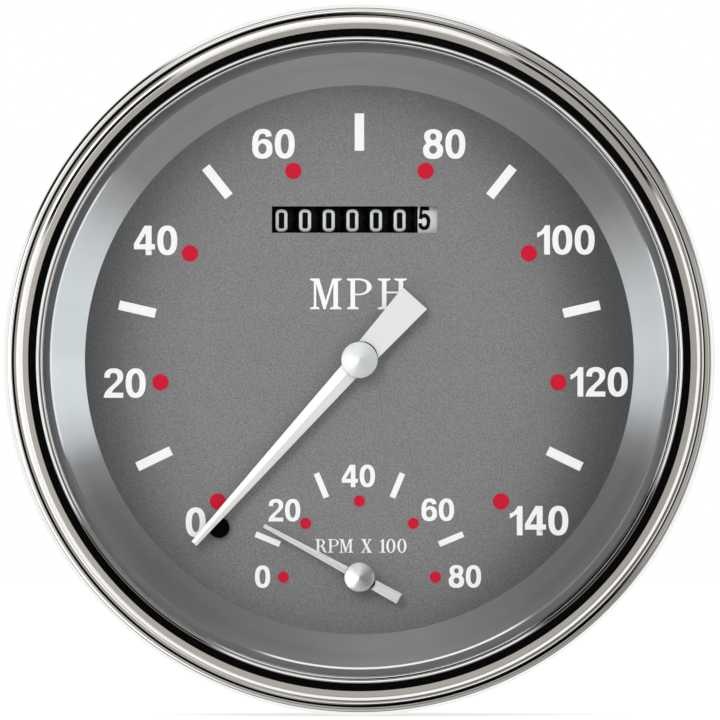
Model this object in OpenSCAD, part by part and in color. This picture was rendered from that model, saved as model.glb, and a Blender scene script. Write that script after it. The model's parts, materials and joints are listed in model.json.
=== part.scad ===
// Speedometer with a tachometer sub-dial and a drum odometer.
// Millimetres. +Z is up, the dial faces -Y and the case runs back along +Y.
// The origin is on the main axis, in the face of the bezel that seats on the dash panel.
// Every piece is drawn as seen from the driver's seat: x to the right, y up and z towards
// the eye. placed() then stands it up.

/* [Bezel and lens] */
// Outside diameter of the bezel
bezel_d = 127; // [126:0.5:132]
// Thickness of the bezel sheet
bezel_sheet = 0.8; // [0.6:0.05:0.9]
// Width of the bezel ring, from its outside to the opening
bezel_ring_w = 7.1; // [6.6:0.1:7.5]
// Width of the flat front crest
crest_w = 1.4; // [1:0.1:1.8]
// Height of the front crest above the inner lip
crest_rise = 1.8; // [1.2:0.1:2.4]
// Radius of the outer bead
bead_r = 1.8; // [1.4:0.1:2]
// Height of the bead above the groove beside it
bead_rise = 0.7; // [0.4:0.05:0.9]
// Thickness of the lens
lens_t = 2; // [1.5:0.1:3]
// Thickness of the gasket on each face of the lens
gasket_t = 0.6; // [0.4:0.1:1]

/* [Case] */
// How far the bezel stands out past the barrel, which passes through the panel
bezel_overhang = 5.5; // [5:0.1:6]
// Thickness of the case sheet
case_wall = 1; // [0.8:0.1:1.2]
// Outside radius of the corner at the back of the case
case_corner = 4; // [3:0.5:5]

/* [Dial and trim ring] */
// Width of the trim ring's cone
cone_w = 6.2; // [5.8:0.1:8]
// Depth of the dial's face behind the panel seat
dial_depth = 2.2; // [2.1:0.1:5]
// Thickness of the dial
dial_t = 0.8; // [0.6:0.1:1.2]
// Thickness of the trim ring sheet
trim_sheet = 0.6; // [0.4:0.05:0.8]
// Thickness of the printed marks
mark_t = 0.1; // [0.05:0.01:0.15]
// Wall of the light ring
light_wall = 0.7; // [0.5:0.1:0.9]

/* [Speed scale] */
// Highest speed on the scale
speed_max = 140; // [100:20:160]
// Speed between one dot and the next
speed_step = 20; // [10, 20]
// Angle from the first dot to the last
speed_sweep = 270; // [240:5:270]
// Distance from the circle of dots to the trim ring
speed_dot_inset = 13.3; // [12.8:0.1:15]
// Diameter of a dot
speed_dot_d = 2.9; // [2:0.1:3]
// Distance from the tick marks' outer ends to the trim ring
speed_tick_inset = 5; // [3:0.1:6]
// Length of a tick mark
speed_tick_l = 6.7; // [4:0.1:8]
// Width of a tick mark
speed_tick_w = 1.7; // [1:0.1:2]

/* [Tachometer scale] */
// Distance from the tachometer's axis down to the trim ring
tach_inset = 10.25; // [9:0.05:12]
// Highest engine speed on the scale, in hundreds
tach_max = 80; // [60:20:100]
// Engine speed between one dot and the next, in hundreds
tach_step = 20; // [10, 20]
// Angle from the first dot to the last
tach_sweep = 180; // [160:5:180]
// Radius of the circle of dots
tach_dot_ring = 13.6; // [13:0.1:14]
// Diameter of a dot
tach_dot_d = 2; // [1.4:0.1:2.2]
// Inner radius of the tick marks
tach_tick_in = 15.4; // [15.2:0.1:16]
// Length of a tick mark
tach_tick_l = 4.7; // [3:0.1:5]
// Width of a tick mark
tach_tick_w = 1.07; // [0.8:0.01:1.4]

/* [Pointers] */
// Angle by which the speed pointer rests short of its first dot
rest_short = 3; // [2:0.5:5]
// Distance from the speed pointer's tip to the trim ring
speed_tip_inset = 5.1; // [4:0.1:7]
// Width of the speed pointer at its hub
speed_needle_w = 3.66; // [3:0.1:4.4]
// Width of the speed pointer at its tip
speed_tip_w = 1.3; // [1:0.1:1.6]
// Reach of the speed pointer's tail
speed_tail_l = 14.85; // [12:0.5:16]
// Width of the tail's end
speed_tail_w = 5.85; // [5:0.1:6.4]
// Engine speed that the tachometer pointer shows, in hundreds
tach_shown = 12.6; // [0:0.1:60]
// Reach of the tachometer pointer's tip
tach_needle_l = 19.4; // [18:0.2:20]
// Width of the tachometer pointer at its hub
tach_needle_w = 1.5; // [1.3:0.1:2]
// Width of the tachometer pointer at its tip
tach_tip_w = 0.7; // [0.6:0.1:1]
// Reach of the tachometer pointer's tail
tach_tail_l = 8.1; // [7:0.1:9]
// Width of the tachometer tail's end
tach_tail_w = 2; // [1.8:0.1:2.4]
// Diameter of the speed pointer's cap
speed_cap_d = 6.5; // [6:0.1:7.5]
// Diameter of the tachometer pointer's cap
tach_cap_d = 5.4; // [4.8:0.1:6]
// Diameter of the spindles
spindle_d = 1.2; // [1:0.1:1.5]
// Gap between the dial's face and the pointers
needle_lift = 2; // [1.8:0.1:2.4]
// Distance from the stop pin to the trim ring
stop_inset = 10; // [8:0.1:12]
// Diameter of the stop pin
stop_pin_d = 1.2; // [1:0.1:1.4]
// Diameter of the bumper round the stop pin
bumper_d = 3.54; // [3:0.1:4]

/* [Movements] */
// Diameter of the speed movement's can
speed_can_d = 26; // [25:0.5:28]
// Diameter of the tachometer movement's can
tach_can_d = 23; // [22.5:0.5:24]
// Thickness of the can's sheet
can_wall = 0.8; // [0.6:0.1:1]
// Gap between a can and the dial
can_gap = 3.2; // [2.8:0.1:4]
// Thickness of one layer of the coils
coil_t = 1.2; // [1:0.1:1.3]

/* [Odometer] */
// Width of the window
window_w = 29.6; // [28.5:0.1:30.5]
// Height of the window
window_h = 4.72; // [4:0.1:5.4]
// Middle of the window to the right of the main axis
window_x = -0.855; // [-1.5:0.005:0]
// Middle of the window above the main axis
window_y = 25.1; // [24.6:0.1:26]
// Diameter of the number wheels
drum_d = 17; // [16.6:0.1:18]
// Gap between the rims of two wheels
rim_gap = 1.02; // [0.95:0.01:1.1]
// Diameter of the shaft of the number wheels
drum_shaft_d = 3; // [2.4:0.1:3.4]
// Diameter of the shaft of the transfer pinions
pinion_shaft_d = 1.6; // [1.2:0.1:1.8]
// Module of the gears
gear_module = 0.76; // [0.74:0.01:0.77]
// Thickness of the odometer's frame
frame_t = 1; // [0.8:0.1:1.2]
// Diameter of the odometer's motor
motor_d = 13; // [12:0.5:14]
// Length of the odometer's motor
motor_l = 8; // [6:0.5:9]

/* [Inside] */
// Gap between the carrier plate and the wall of the case
carrier_side_gap = 6; // [4:0.5:8]
// Thickness of the carrier plate
carrier_t = 1.5; // [1.2:0.1:2]
// Diameter of the posts that hold the dial
post_d = 5; // [4:0.1:6]
// Shank diameter of the machine screws
screw_d = 2.4; // [2:0.1:2.6]
// Length of the standoffs between carrier plate and circuit board
standoff_l = 23.3; // [21:0.1:26]
// Gap between the circuit board and the lamps
board_side_gap = 3.2; // [2:0.1:5]
// Thickness of the circuit board
board_t = 1.6; // [1.2:0.2:2]
// Space between the circuit board and the back of the case
board_gap = 5.4; // [5.2:0.1:7]

/* [Back] */
// Distance between the two mounting studs
stud_spacing = 50.8; // [49:0.2:52]
// Diameter of the mounting studs' thread
stud_d = 4.8; // [4:0.1:5]
// Length of the studs behind the case
stud_l = 18; // [15:0.5:25]
// Width across the flats of the stud nuts
nut_flats = 9.5; // [8:0.1:10]
// Thickness of the stud nuts
nut_t = 3.2; // [2.4:0.1:4]
// Number of terminal blades
blade_count = 6; // [4:1:6]
// Width of a terminal blade
blade_w = 4.8; // [3:0.1:5]
// Thickness of a terminal blade
blade_t = 0.8; // [0.6:0.1:1]
// Length of the terminal blades behind their block
blade_l = 8; // [6:0.5:10]
// Distance from the middle of a lamp to the wall of the case
lamp_inset = 13; // [12.4:0.1:14]
// Diameter of a lamp's glass
lamp_d = 9.6; // [8:0.1:10]
// Diameter of the calibration button
button_d = 3.5; // [3:0.1:4]
// Travel of the calibration button
button_travel = 1.2; // [0.8:0.1:1.4]

/* [Hidden] */
// Angles at which the rounded bezel crest and the tip of a hub cap begin and end
crest_in_a = 150;
crest_out_a = 20;
cap_tip_a = 40;

$fn = 96;

// Colours
polished_steel = [0.82, 0.82, 0.80];
plated_steel = [0.66, 0.67, 0.66];
polished_aluminium = [0.78, 0.80, 0.82];
clear_glass = [0.85, 0.92, 0.92, 0.3];
black_rubber = [0.06, 0.06, 0.06];
black_plastic = [0.10, 0.10, 0.11];
milky_plastic = [0.90, 0.90, 0.86];
dial_grey = [0.42, 0.43, 0.43];
mark_white = [0.97, 0.97, 0.95];
dot_red = [0.80, 0.13, 0.22];
pointer_white = [0.93, 0.93, 0.92];
brass = [0.78, 0.62, 0.30];
copper = [0.72, 0.40, 0.22];
magnet_grey = [0.28, 0.28, 0.30];
board_green = [0.10, 0.34, 0.18];
tenths_white = [0.90, 0.89, 0.88];

// Cutting bodies run past what they cut by this much
over = 1;

// Clearances
running_gap = 0.05;
loose_gap = 0.2;
side_gap = 0.3;
socket_gap = 0.4;

// Bezel, from its outside inwards
bezel_r = bezel_d / 2;
bezel_in_r = bezel_r - bezel_sheet;
corner_out = 1.4;
corner_in = corner_out - bezel_sheet;
bead_in_r = 1;
bead_mid_r = bezel_r - bead_r;
groove_w = 0.15;
crest_wall_w = 1.05;
crest_round = 0.7;
crest_out_r = bead_mid_r - bead_in_r - groove_w - crest_wall_w;
crest_in_r = crest_out_r - crest_w;
crest_in_round = 0.4;
opening_r = bezel_r - bezel_ring_w;
lip_w = 0.5;
lip_round = 0.2;

// Rings clamped by the bezel
ring_r = bezel_in_r - corner_in - loose_gap;
gasket_web = 0.8;
lens_r = ring_r - gasket_web;
gasket_hide = 0.4;
ring_flange_t = 0.6;

// Case, light ring, dial and trim ring
barrel_r = bezel_r - bezel_overhang;
case_in_r = barrel_r - case_wall;
light_out_r = case_in_r - side_gap;
light_in_r = light_out_r - light_wall;
flange_bend = 0.15;
ledge_w = 2.5;
ledge_in_r = light_in_r - ledge_w;
ledge_t = 1;
dial_r = light_in_r - loose_gap;
trim_gap = 0.1;
cone_top_r = light_in_r - trim_sheet - trim_gap;
dial_view_r = cone_top_r - cone_w;

// Levels, from the panel seat towards the driver
z_flange_back = bezel_sheet;
z_flange_front = z_flange_back + case_wall;
z_light_front = z_flange_front + ring_flange_t;
z_trim_front = z_light_front + trim_sheet;
z_lens_back = z_trim_front + gasket_t;
z_lens_front = z_lens_back + lens_t;
z_lip_back = z_lens_front + gasket_t;
z_lip_front = z_lip_back + bezel_sheet;
z_crest = z_lip_front + crest_rise;
z_bead = z_lip_front + bead_rise;

// Levels, from the panel seat to the back
drum_r = drum_d / 2;
drum_gap = 0.9;
drum_back_gap = 1.3;
z_dial_front = -dial_depth;
z_dial_back = z_dial_front - dial_t;
z_drum = z_dial_back - drum_gap - drum_r;
z_carrier_front = z_drum - drum_r - drum_back_gap - frame_t;
z_carrier_back = z_carrier_front - carrier_t;
z_board_front = z_carrier_back - standoff_l;
z_board_back = z_board_front - board_t;
z_case_in = z_board_back - board_gap;
z_case_back = z_case_in - case_wall;

// Scales
speed_dot_ring = dial_view_r - speed_dot_inset;
speed_tick_in = dial_view_r - speed_tick_inset - speed_tick_l;
tach_y = tach_inset - dial_view_r;

// Pointers and their stop
speed_needle_l = dial_view_r - speed_tip_inset;
stop_ring = dial_view_r - stop_inset;
speed_start = -speed_sweep / 2;
speed_rest = speed_start - rest_short;
tach_start = -tach_sweep / 2;
tach_rest = tach_start + tach_sweep * tach_shown / tach_max;
spindle_r = spindle_d / 2;
z_needle = z_dial_front + needle_lift;
blade_t_mid = 0.9;
ridge_slope = 14;
tail_t = 0.6;
tail_root_share = 1.15;
hub_boss_h = 0.9;
hub_boss_r = 2;
cap_overhang = 0.45;
cap_skirt_h = 0.5;
cap_cone_h = 1.9;
cap_tip_r = 0.25;
stop_gap = 0.05;
stop_half_w = (speed_needle_w + (speed_tip_w - speed_needle_w) * stop_ring / speed_needle_l) / 2;
stop_angle = speed_rest - asin((stop_half_w + stop_pin_d / 2 + stop_gap) / stop_ring);
bumper_under = 0.6;
bumper_h = needle_lift - bumper_under;
stop_pin_over = 1.4;
stop_pin_up = needle_lift + stop_pin_over;
stop_pin_down = 1.5;

// Movements
can_h = z_dial_back - can_gap - z_carrier_front;
flange_t = 1;
coil_gap = 0.1;
coil_half_gap = 1.7;
coil_w_share = 0.45;
boss_r = 1.5;
boss_dial_gap = 0.5;
boss_up = can_gap - boss_dial_gap;
bore_floor = 1;
spindle_play = 0.2;
body_shrink = 4.6;
chamber_r_share = 0.8;
rotor_t = 3;
rotor_gap = 0.4;
split_gap = 0.1;
corner_post_r = 0.9;
tab_r = 1;
tab_out = 0.6;
tab_inset = 5;
tab_angles = [90, 210, 330];

// Odometer, with the counts that its gears and number wheels share
wheel_count = 7;
wheel_teeth = 20;
pinion_teeth = 8;
idler_teeth = 16;
wheel_pitch = window_w / wheel_count;
rim_w = wheel_pitch - rim_gap;
rim_t = 1.2;
last_rim_extra = rim_gap / 2;
drum_shaft_r = drum_shaft_d / 2;
pinion_shaft_r = pinion_shaft_d / 2;
hub_r = 2.6;
hub_play = 0.1;
web_t = 1.2;
side_gear_t = 0.45;
gear_sink = 0.2;
driver_t = 0.3;
driver_r_drop = 0.4;
driver_teeth = 2;
gear_ring_in = 6;
wheel_gear_r = gear_module * wheel_teeth / 2;
pinion_gear_r = gear_module * pinion_teeth / 2;
idler_gear_r = gear_module * idler_teeth / 2;
gear_tip = 0.5 * gear_module;
pinion_tip = 0.9 * gear_module;
tooth_clear = 0.2 * gear_module;
tooth_share = 0.44;
pressure_angle = 20;
pinion_angle = 70;
idler_angle = 270;
motor_angle = 270;
pinion_disc_t = 0.34;
pinion_disc_in = 0.08;
pinion_hub_r = 1.7;
pinion_hub_play = 0.32;
drive_gear_t = 0.8;
drive_side = 0.15;
last_x = window_x + (wheel_count - 1) / 2 * wheel_pitch;
x_drive = last_x + rim_w / 2 + last_rim_extra;
plate_gap = 0.4;
x_right_plate = x_drive + drive_gear_t + plate_gap;
x_left_plate = window_x - wheel_count / 2 * wheel_pitch + rim_gap / 2 - driver_t - plate_gap;
pinion_pos = [window_y, z_drum] + (wheel_gear_r + pinion_gear_r) * side_dir(pinion_angle);
idler_pos = [window_y, z_drum] + (wheel_gear_r + idler_gear_r) * side_dir(idler_angle);
motor_pos = idler_pos + (idler_gear_r + pinion_gear_r) * side_dir(motor_angle);
motor_r = motor_d / 2;
motor_shaft_r = 0.75;
motor_flange_w = 1;
motor_shaft_in = 5;
idler_pin_r = 1;
idler_head_r = 1.8;
idler_head_t = 0.6;
shaft_out = 0.5;
plate_margin = 2.6;
plate_front = 2;
foot_w = 6;
foot_l = 5;
foot_drop = 3.4;
plate_low_inset = 1;
frame_bottom = drum_r - plate_low_inset;
frame_top = wheel_gear_r + pinion_gear_r + plate_margin;

// Carrier plate, board and fasteners
carrier_r = case_in_r - carrier_side_gap;
post_r = post_d / 2;
screw_r = screw_d / 2;
screw_head_share = 1.9;
screw_head_r = screw_r * screw_head_share;
slot_w = 0.6;
slot_depth = 0.75;
screw_head_t = 1.5;
screw_bite = 4;
post_inset = 7.1;
post_places = [for (a = [12, 168, 219, 321]) (carrier_r - post_inset) * [cos(a), sin(a)]];
frame_screw_x = 11;
frame_screw_up = 5;
frame_screw_places = [for (side = [-1, 1]) [window_x + side * frame_screw_x, window_y + frame_screw_up]];
foot_screw = [x_right_plate + frame_t + foot_w / 2, motor_pos[0] - motor_r - foot_drop];
lamp_r = lamp_d / 2;
lamp_ring = case_in_r - lamp_inset;
lamp_angles = [45, 135];
board_r = lamp_ring - lamp_r - board_side_gap;
standoff_inset = 7;
standoff_r = 2.3;
standoff_places = [for (a = [35, 145, 250, 290]) (board_r - standoff_inset) * [cos(a), sin(a)]];

// Back of the case
stud_r = stud_d / 2;
thread_depth = 0.3;
thread_met_r = stud_r - thread_depth;
stud_shoulder_w = 1.3;
stud_shoulder_r = stud_r + stud_shoulder_w;
stud_neck_r = 1.5;
stud_head_r = 3;
stud_head_t = 1;
stud_chamfer = 0.6;
washer_margin = 1.2;
washer_r = nut_flats / 2 + washer_margin;
washer_t = 0.8;
z_nut_back = z_case_back - washer_t - nut_t;
stud_x = stud_spacing / 2;
block_y = -13;
block_h = 11;
blade_spacing = 1.6;
blade_pitch = blade_w + blade_spacing;
block_margin = 1.2;
block_w = blade_count * blade_pitch + 2 * block_margin;
block_out = 2.6;
blade_in = 4;
blade_chamfer = 1;
socket_wall = 1.9;
socket_r = lamp_r + socket_wall;
socket_flange_w = 1.6;
socket_flange_r = socket_r + socket_flange_w;
socket_flange_t = 1.8;
socket_in = 5;
socket_out = 9;
socket_step = 1;
grip_t = 2.4;
grip_l = 2.4;
grip_inset = 0.6;
lamp_base = 4;
lamp_l = 20;
lamp_window_spare = 3;
lamp_window_shift = 3;
button_r = button_d / 2;
button_x = 0;
button_y = 12;
button_out = 3;
button_flange = 0.8;
button_flange_t = 0.8;
housing_in_r = button_r + button_flange + side_gap;
housing_wall = 1.3;
housing_r = housing_in_r + housing_wall;
housing_floor = 0.6;
housing_lid = 0.6;
spring_shut = 1.4;
housing_h = housing_lid + button_flange_t + button_travel + spring_shut + housing_floor;
spring_wire_r = 0.14;
spring_inset = 0.35;
spring_r = button_r - spring_inset;
spring_turns = 4;
spring_rings = 12;
spring_sides = 6;

// Stands a piece up: its z, towards the driver, becomes -Y
module placed() {
    rotate([90, 0, 0]) children();
}

// Lays a piece with its axis along x: its own x becomes -z, so an angle is counted
// from straight back, by way of up
module sideways(x, pos) {
    translate([x, pos[0], pos[1]]) rotate([0, 90, 0]) children();
}

// Unit vector [y, z] at that angle
function side_dir(a) = [sin(a), -cos(a)];

// Unit vector at a dial angle, clockwise from twelve o'clock
function dial_dir(a) = [sin(a), cos(a)];

function arc(x, y, r, from, to, n) =
    [for (i = [0:n]) [x + r * cos(from + (to - from) * i / n), y + r * sin(from + (to - from) * i / n)]];

// Angle between a tooth's middle line and its flank at radius r
function involute(a) = tan(a) - a * PI / 180;
function flank(r, base, half) =
    half + (involute(pressure_angle) - involute(acos(min(1, base / r)))) * 180 / PI;

module gear_shape(teeth, tip, phase) {
    pitch_r = gear_module * teeth / 2;
    other_tip = tip == gear_tip ? pinion_tip : gear_tip;
    root_r = pitch_r - other_tip - tooth_clear;
    tip_r = pitch_r + tip;
    base = pitch_r * cos(pressure_angle);
    half = 180 / teeth * tooth_share;
    low = max(base, root_r);
    radii = [root_r, low, (low + pitch_r) / 2, pitch_r, (pitch_r + tip_r) / 2, tip_r];
    rotate([0, 0, phase]) polygon([
        for (i = [0:teeth - 1], k = [0:2 * len(radii) - 1])
            let (rising = k < len(radii), r = radii[rising ? k : 2 * len(radii) - 1 - k])
            let (a = 360 / teeth * i + (rising ? -1 : 1) * flank(r, base, half))
            r * [cos(a), sin(a)]
    ]);
}

module bezel_profile() {
    bead_foot = 180 - asin((bead_in_r - bead_rise) / bead_in_r);
    bead_base = z_bead - bead_r;
    polygon(concat(
        [[opening_r, z_lip_back]],
        arc(opening_r + lip_round, z_lip_front - lip_round, lip_round, 180, 90, 4),
        [[opening_r + lip_w, z_lip_front]],
        arc(crest_in_r, z_crest - crest_in_round, crest_in_round, crest_in_a, 90, 4),
        arc(crest_out_r, z_crest - crest_round, crest_round, 90, crest_out_a, 6),
        [[bead_mid_r - bead_in_r * cos(180 - bead_foot) - groove_w, z_lip_front]],
        arc(bead_mid_r, z_bead - bead_in_r, bead_in_r, bead_foot, 90, 6),
        arc(bead_mid_r, bead_base, bead_r, 90, 0, 10),
        arc(bezel_r - corner_out, corner_out, corner_out, 0, -90, 6),
        [[barrel_r + side_gap, 0]],
        [[barrel_r + side_gap, bezel_sheet]],
        arc(bezel_in_r - corner_in, bezel_sheet + corner_in, corner_in, -90, 0, 4),
        arc(bead_mid_r, bead_base, bead_r - bezel_sheet, 0, 90, 6),
        [[bead_mid_r - bead_in_r, z_lip_back]],
        [[crest_out_r - bezel_sheet / 4, z_lip_back]],
        [[crest_out_r - bezel_sheet / 2, z_crest - bezel_sheet]],
        [[crest_in_r + bezel_sheet / 4, z_crest - bezel_sheet]],
        [[crest_in_r - bezel_sheet / 4, z_lip_back]]
    ));
}

module bezel() {
    color(polished_steel) placed() rotate_extrude() bezel_profile();
}

module lens() {
    color(clear_glass) placed() translate([0, 0, z_lens_back]) cylinder(r = lens_r, h = lens_t);
}

module lens_gasket() {
    leg_in = opening_r + gasket_hide;
    color(black_rubber) placed() rotate_extrude() polygon([
        [leg_in, z_trim_front],
        [ring_r, z_trim_front],
        [ring_r, z_lip_back],
        [leg_in, z_lip_back],
        [leg_in, z_lens_front],
        [lens_r, z_lens_front],
        [lens_r, z_lens_back],
        [leg_in, z_lens_back]
    ]);
}

module trim_ring() {
    rise = z_trim_front - z_dial_front;
    run = cone_top_r - dial_view_r;
    slant = atan2(rise, run);
    wall = trim_sheet / sin(slant);
    back_r = dial_view_r + wall + (z_light_front - z_dial_front) / tan(slant);
    color(polished_aluminium) placed() rotate_extrude() polygon([
        [dial_view_r, z_dial_front],
        [cone_top_r, z_trim_front],
        [ring_r, z_trim_front],
        [ring_r, z_light_front],
        [back_r, z_light_front],
        [dial_view_r + wall, z_dial_front]
    ]);
}

module light_ring() {
    color(milky_plastic) placed() rotate_extrude() polygon([
        [ring_r, z_flange_front],
        [ring_r, z_light_front],
        [light_in_r, z_light_front],
        [light_in_r, z_dial_back],
        [ledge_in_r, z_dial_back],
        [ledge_in_r, z_dial_back - ledge_t],
        [light_out_r, z_dial_back - ledge_t],
        [light_out_r, z_flange_front]
    ]);
}

module case_profile() {
    inner = case_corner - case_wall;
    polygon(concat(
        [[0, z_case_in], [0, z_case_back]],
        arc(barrel_r - case_corner, z_case_back + case_corner, case_corner, -90, 0, 8),
        [[barrel_r, 0], [barrel_r + flange_bend, z_flange_back], [ring_r, z_flange_back]],
        [[ring_r, z_flange_front], [case_in_r, z_flange_front]],
        arc(barrel_r - case_corner, z_case_back + case_corner, inner, 0, -90, 8)
    ));
}

module case() {
    through = 3 * case_wall;
    color(plated_steel) placed() difference() {
        rotate_extrude() case_profile();
        translate([0, 0, z_case_back - case_wall]) {
            for (x = [-stud_x, stud_x])
                translate([x, 0, 0]) cylinder(r = stud_r + loose_gap, h = through, $fn = 48);
            for (a = lamp_angles)
                rotate([0, 0, a]) translate([lamp_ring, 0, 0])
                    cylinder(r = socket_r + loose_gap, h = through, $fn = 64);
            translate([button_x, button_y, 0]) cylinder(r = button_r + socket_gap, h = through, $fn = 48);
            translate([-block_w / 2 - socket_gap, block_y - block_h / 2 - socket_gap, 0])
                cube([block_w + 2 * socket_gap, block_h + 2 * socket_gap, through]);
        }
    }
}

module dial() {
    color(dial_grey) placed() difference() {
        translate([0, 0, z_dial_back]) cylinder(r = dial_r, h = dial_t);
        translate([0, 0, z_dial_back - dial_t]) {
            cylinder(r = spindle_r + side_gap, h = 3 * dial_t, $fn = 48);
            translate([0, tach_y, 0]) cylinder(r = spindle_r + side_gap, h = 3 * dial_t, $fn = 48);
            translate(concat(stop_ring * dial_dir(stop_angle), 0))
                cylinder(r = stop_pin_d / 2 + running_gap, h = 3 * dial_t, $fn = 48);
            translate([window_x - window_w / 2, window_y - window_h / 2, 0])
                cube([window_w, window_h, 3 * dial_t]);
        }
    }
}

// Copies a mark to each step of a scale, half a step on when between is true
module along_scale(top, step, sweep, between) {
    for (v = [between ? step / 2 : 0 : step : top])
        rotate([0, 0, sweep / 2 - sweep * v / top]) children();
}

module dial_tick_marks() {
    color(mark_white) placed() translate([0, 0, z_dial_front]) {
        along_scale(speed_max, speed_step, speed_sweep, true)
            translate([-speed_tick_w / 2, speed_tick_in, 0]) cube([speed_tick_w, speed_tick_l, mark_t]);
        translate([0, tach_y, 0]) along_scale(tach_max, tach_step, tach_sweep, true)
            translate([-tach_tick_w / 2, tach_tick_in, 0]) cube([tach_tick_w, tach_tick_l, mark_t]);
    }
}

module dial_dots() {
    color(dot_red) placed() translate([0, 0, z_dial_front]) {
        along_scale(speed_max, speed_step, speed_sweep, false)
            translate([0, speed_dot_ring, 0]) cylinder(d = speed_dot_d, h = mark_t, $fn = 48);
        translate([0, tach_y, 0]) along_scale(tach_max, tach_step, tach_sweep, false)
            translate([0, tach_dot_ring, 0]) cylinder(d = tach_dot_d, h = mark_t, $fn = 48);
    }
}

module pointer_stop() {
    spot = stop_ring * dial_dir(stop_angle);
    color(black_rubber) placed() translate([spot[0], spot[1], z_dial_front]) {
        translate([0, 0, -dial_t - stop_pin_down])
            cylinder(d = stop_pin_d, h = stop_pin_down + dial_t + stop_pin_up, $fn = 48);
        difference() {
            cylinder(d = bumper_d, h = bumper_h, $fn = 64);
            translate([0, 0, -mark_t])
                cylinder(r = stop_pin_d / 2 + running_gap, h = bumper_h + 2 * mark_t, $fn = 48);
        }
    }
}

// A pointer at twelve o'clock with its underside at z = 0: a ridged blade, a flat tail
// and a hub with a boss under it, bored for the spindle
module pointer(reach, hub_w, tip_w, tail_reach, tail_w, cap_d) {
    tail_root = hub_w * tail_root_share;
    hub_half = cap_d / 2 - cap_overhang;
    difference() {
        union() {
            difference() {
                linear_extrude(height = blade_t_mid) polygon([
                    [-hub_w / 2, 0],
                    [-tip_w / 2, reach - tip_w / 2],
                    [0, reach],
                    [tip_w / 2, reach - tip_w / 2],
                    [hub_w / 2, 0]
                ]);
                for (side = [-1, 1])
                    translate([0, -over, blade_t_mid]) rotate([0, side * ridge_slope, 0])
                        translate([side > 0 ? 0 : -hub_w, 0, 0]) cube([hub_w, reach + 2 * over, blade_t_mid]);
            }
            linear_extrude(height = tail_t) polygon([
                [-tail_root / 2, 0],
                [-tail_w / 2, -tail_reach],
                [tail_w / 2, -tail_reach],
                [tail_root / 2, 0]
            ]);
            cylinder(r = hub_half, h = tail_t, $fn = 64);
            translate([0, 0, -hub_boss_h])
                cylinder(r = min(hub_boss_r, hub_half), h = hub_boss_h + tail_t, $fn = 48);
        }
        translate([0, 0, -2 * hub_boss_h]) cylinder(r = spindle_r, h = 4 * hub_boss_h, $fn = 48);
    }
}

// A cone cap that stands on the pointer's ridge
module hub_cap(d) {
    translate([0, 0, blade_t_mid]) rotate_extrude($fn = 64) polygon(concat(
        [[0, 0], [d / 2, 0], [d / 2, cap_skirt_h]],
        arc(0, cap_skirt_h + cap_cone_h - cap_tip_r, cap_tip_r, cap_tip_a, 90, 3)
    ));
}

// The spindle ends in the needle and in a blind bore at the bottom of the bobbin
module spindle() {
    bottom = z_carrier_front + can_wall + bore_floor + spindle_play;
    translate([0, 0, bottom]) cylinder(r = spindle_r, h = z_needle + tail_t - bottom, $fn = 48);
}

module rotor(can_r) {
    radius = (can_r - body_shrink) * chamber_r_share - rotor_gap;
    translate([0, 0, rotor_mid_z() - rotor_t / 2]) difference() {
        cylinder(r = radius, h = rotor_t, $fn = 64);
        translate([0, 0, -rotor_t / 2]) cylinder(r = spindle_r, h = 2 * rotor_t, $fn = 48);
    }
}

function rotor_mid_z() = z_carrier_front + can_wall + (can_h - can_wall - flange_t) / 2;
function body_low_z() = z_carrier_front + can_wall + 2 * coil_t + 3 * coil_gap;
function body_high_z() = z_carrier_front + can_h - flange_t - 2 * coil_t - 3 * coil_gap;

// Two halves of the bobbin with the rotor's chamber between them. Tubes on the axis
// reach between the coils to the can's floor and to a plate that closes its mouth.
module bobbin(can_r) {
    floor_z = z_carrier_front + can_wall;
    top_z = z_carrier_front + can_h;
    mid = rotor_mid_z();
    chamber_r = (can_r - body_shrink) * chamber_r_share;
    chamber_h = rotor_t + 2 * rotor_gap;
    post_ring = can_r - can_wall - corner_post_r - running_gap;
    difference() {
        union() {
            translate([0, 0, body_low_z()])
                cylinder(r = can_r - body_shrink, h = body_high_z() - body_low_z(), $fn = 64);
            translate([0, 0, floor_z]) cylinder(r = boss_r, h = top_z + boss_up - floor_z, $fn = 48);
            translate([0, 0, top_z - flange_t]) cylinder(r = can_r - can_wall - running_gap, h = flange_t);
            for (a = [45:90:315])
                rotate([0, 0, a]) translate([post_ring, 0, floor_z])
                    cylinder(r = corner_post_r, h = top_z - floor_z, $fn = 24);
            for (a = [45:90:315])
                rotate([0, 0, a]) translate([0, -corner_post_r / 2, body_low_z()])
                    cube([post_ring, corner_post_r, flange_t]);
        }
        translate([0, 0, mid - chamber_h / 2]) cylinder(r = chamber_r, h = chamber_h, $fn = 64);
        translate([0, 0, floor_z + bore_floor])
            cylinder(r = spindle_r + running_gap, h = can_h + boss_up, $fn = 48);
        translate([-can_r, -can_r, mid - split_gap / 2]) cube([2 * can_r, 2 * can_r, split_gap]);
    }
}

// One layer of a coil: two flat loops, one on each side of the spindle
module coil(inner_w, low, high, width) {
    for (side = [-1, 1])
        translate([0, side * (coil_half_gap + width / 2), 0]) difference() {
            translate([-inner_w - coil_t, -width / 2, low - coil_t])
                cube([2 * (inner_w + coil_t), width, high - low + 2 * coil_t]);
            translate([-inner_w, -width, low]) cube([2 * inner_w, 2 * width, high - low]);
        }
}

module coils(can_r) {
    body_r = can_r - body_shrink;
    inner_w = body_r + coil_gap;
    width = body_r * coil_w_share;
    low = body_low_z() - coil_gap;
    high = body_high_z() + coil_gap;
    coil(inner_w, low, high, width);
    rotate([0, 0, 90]) coil(inner_w, low - coil_t - coil_gap, high + coil_t + coil_gap, width);
}

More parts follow.
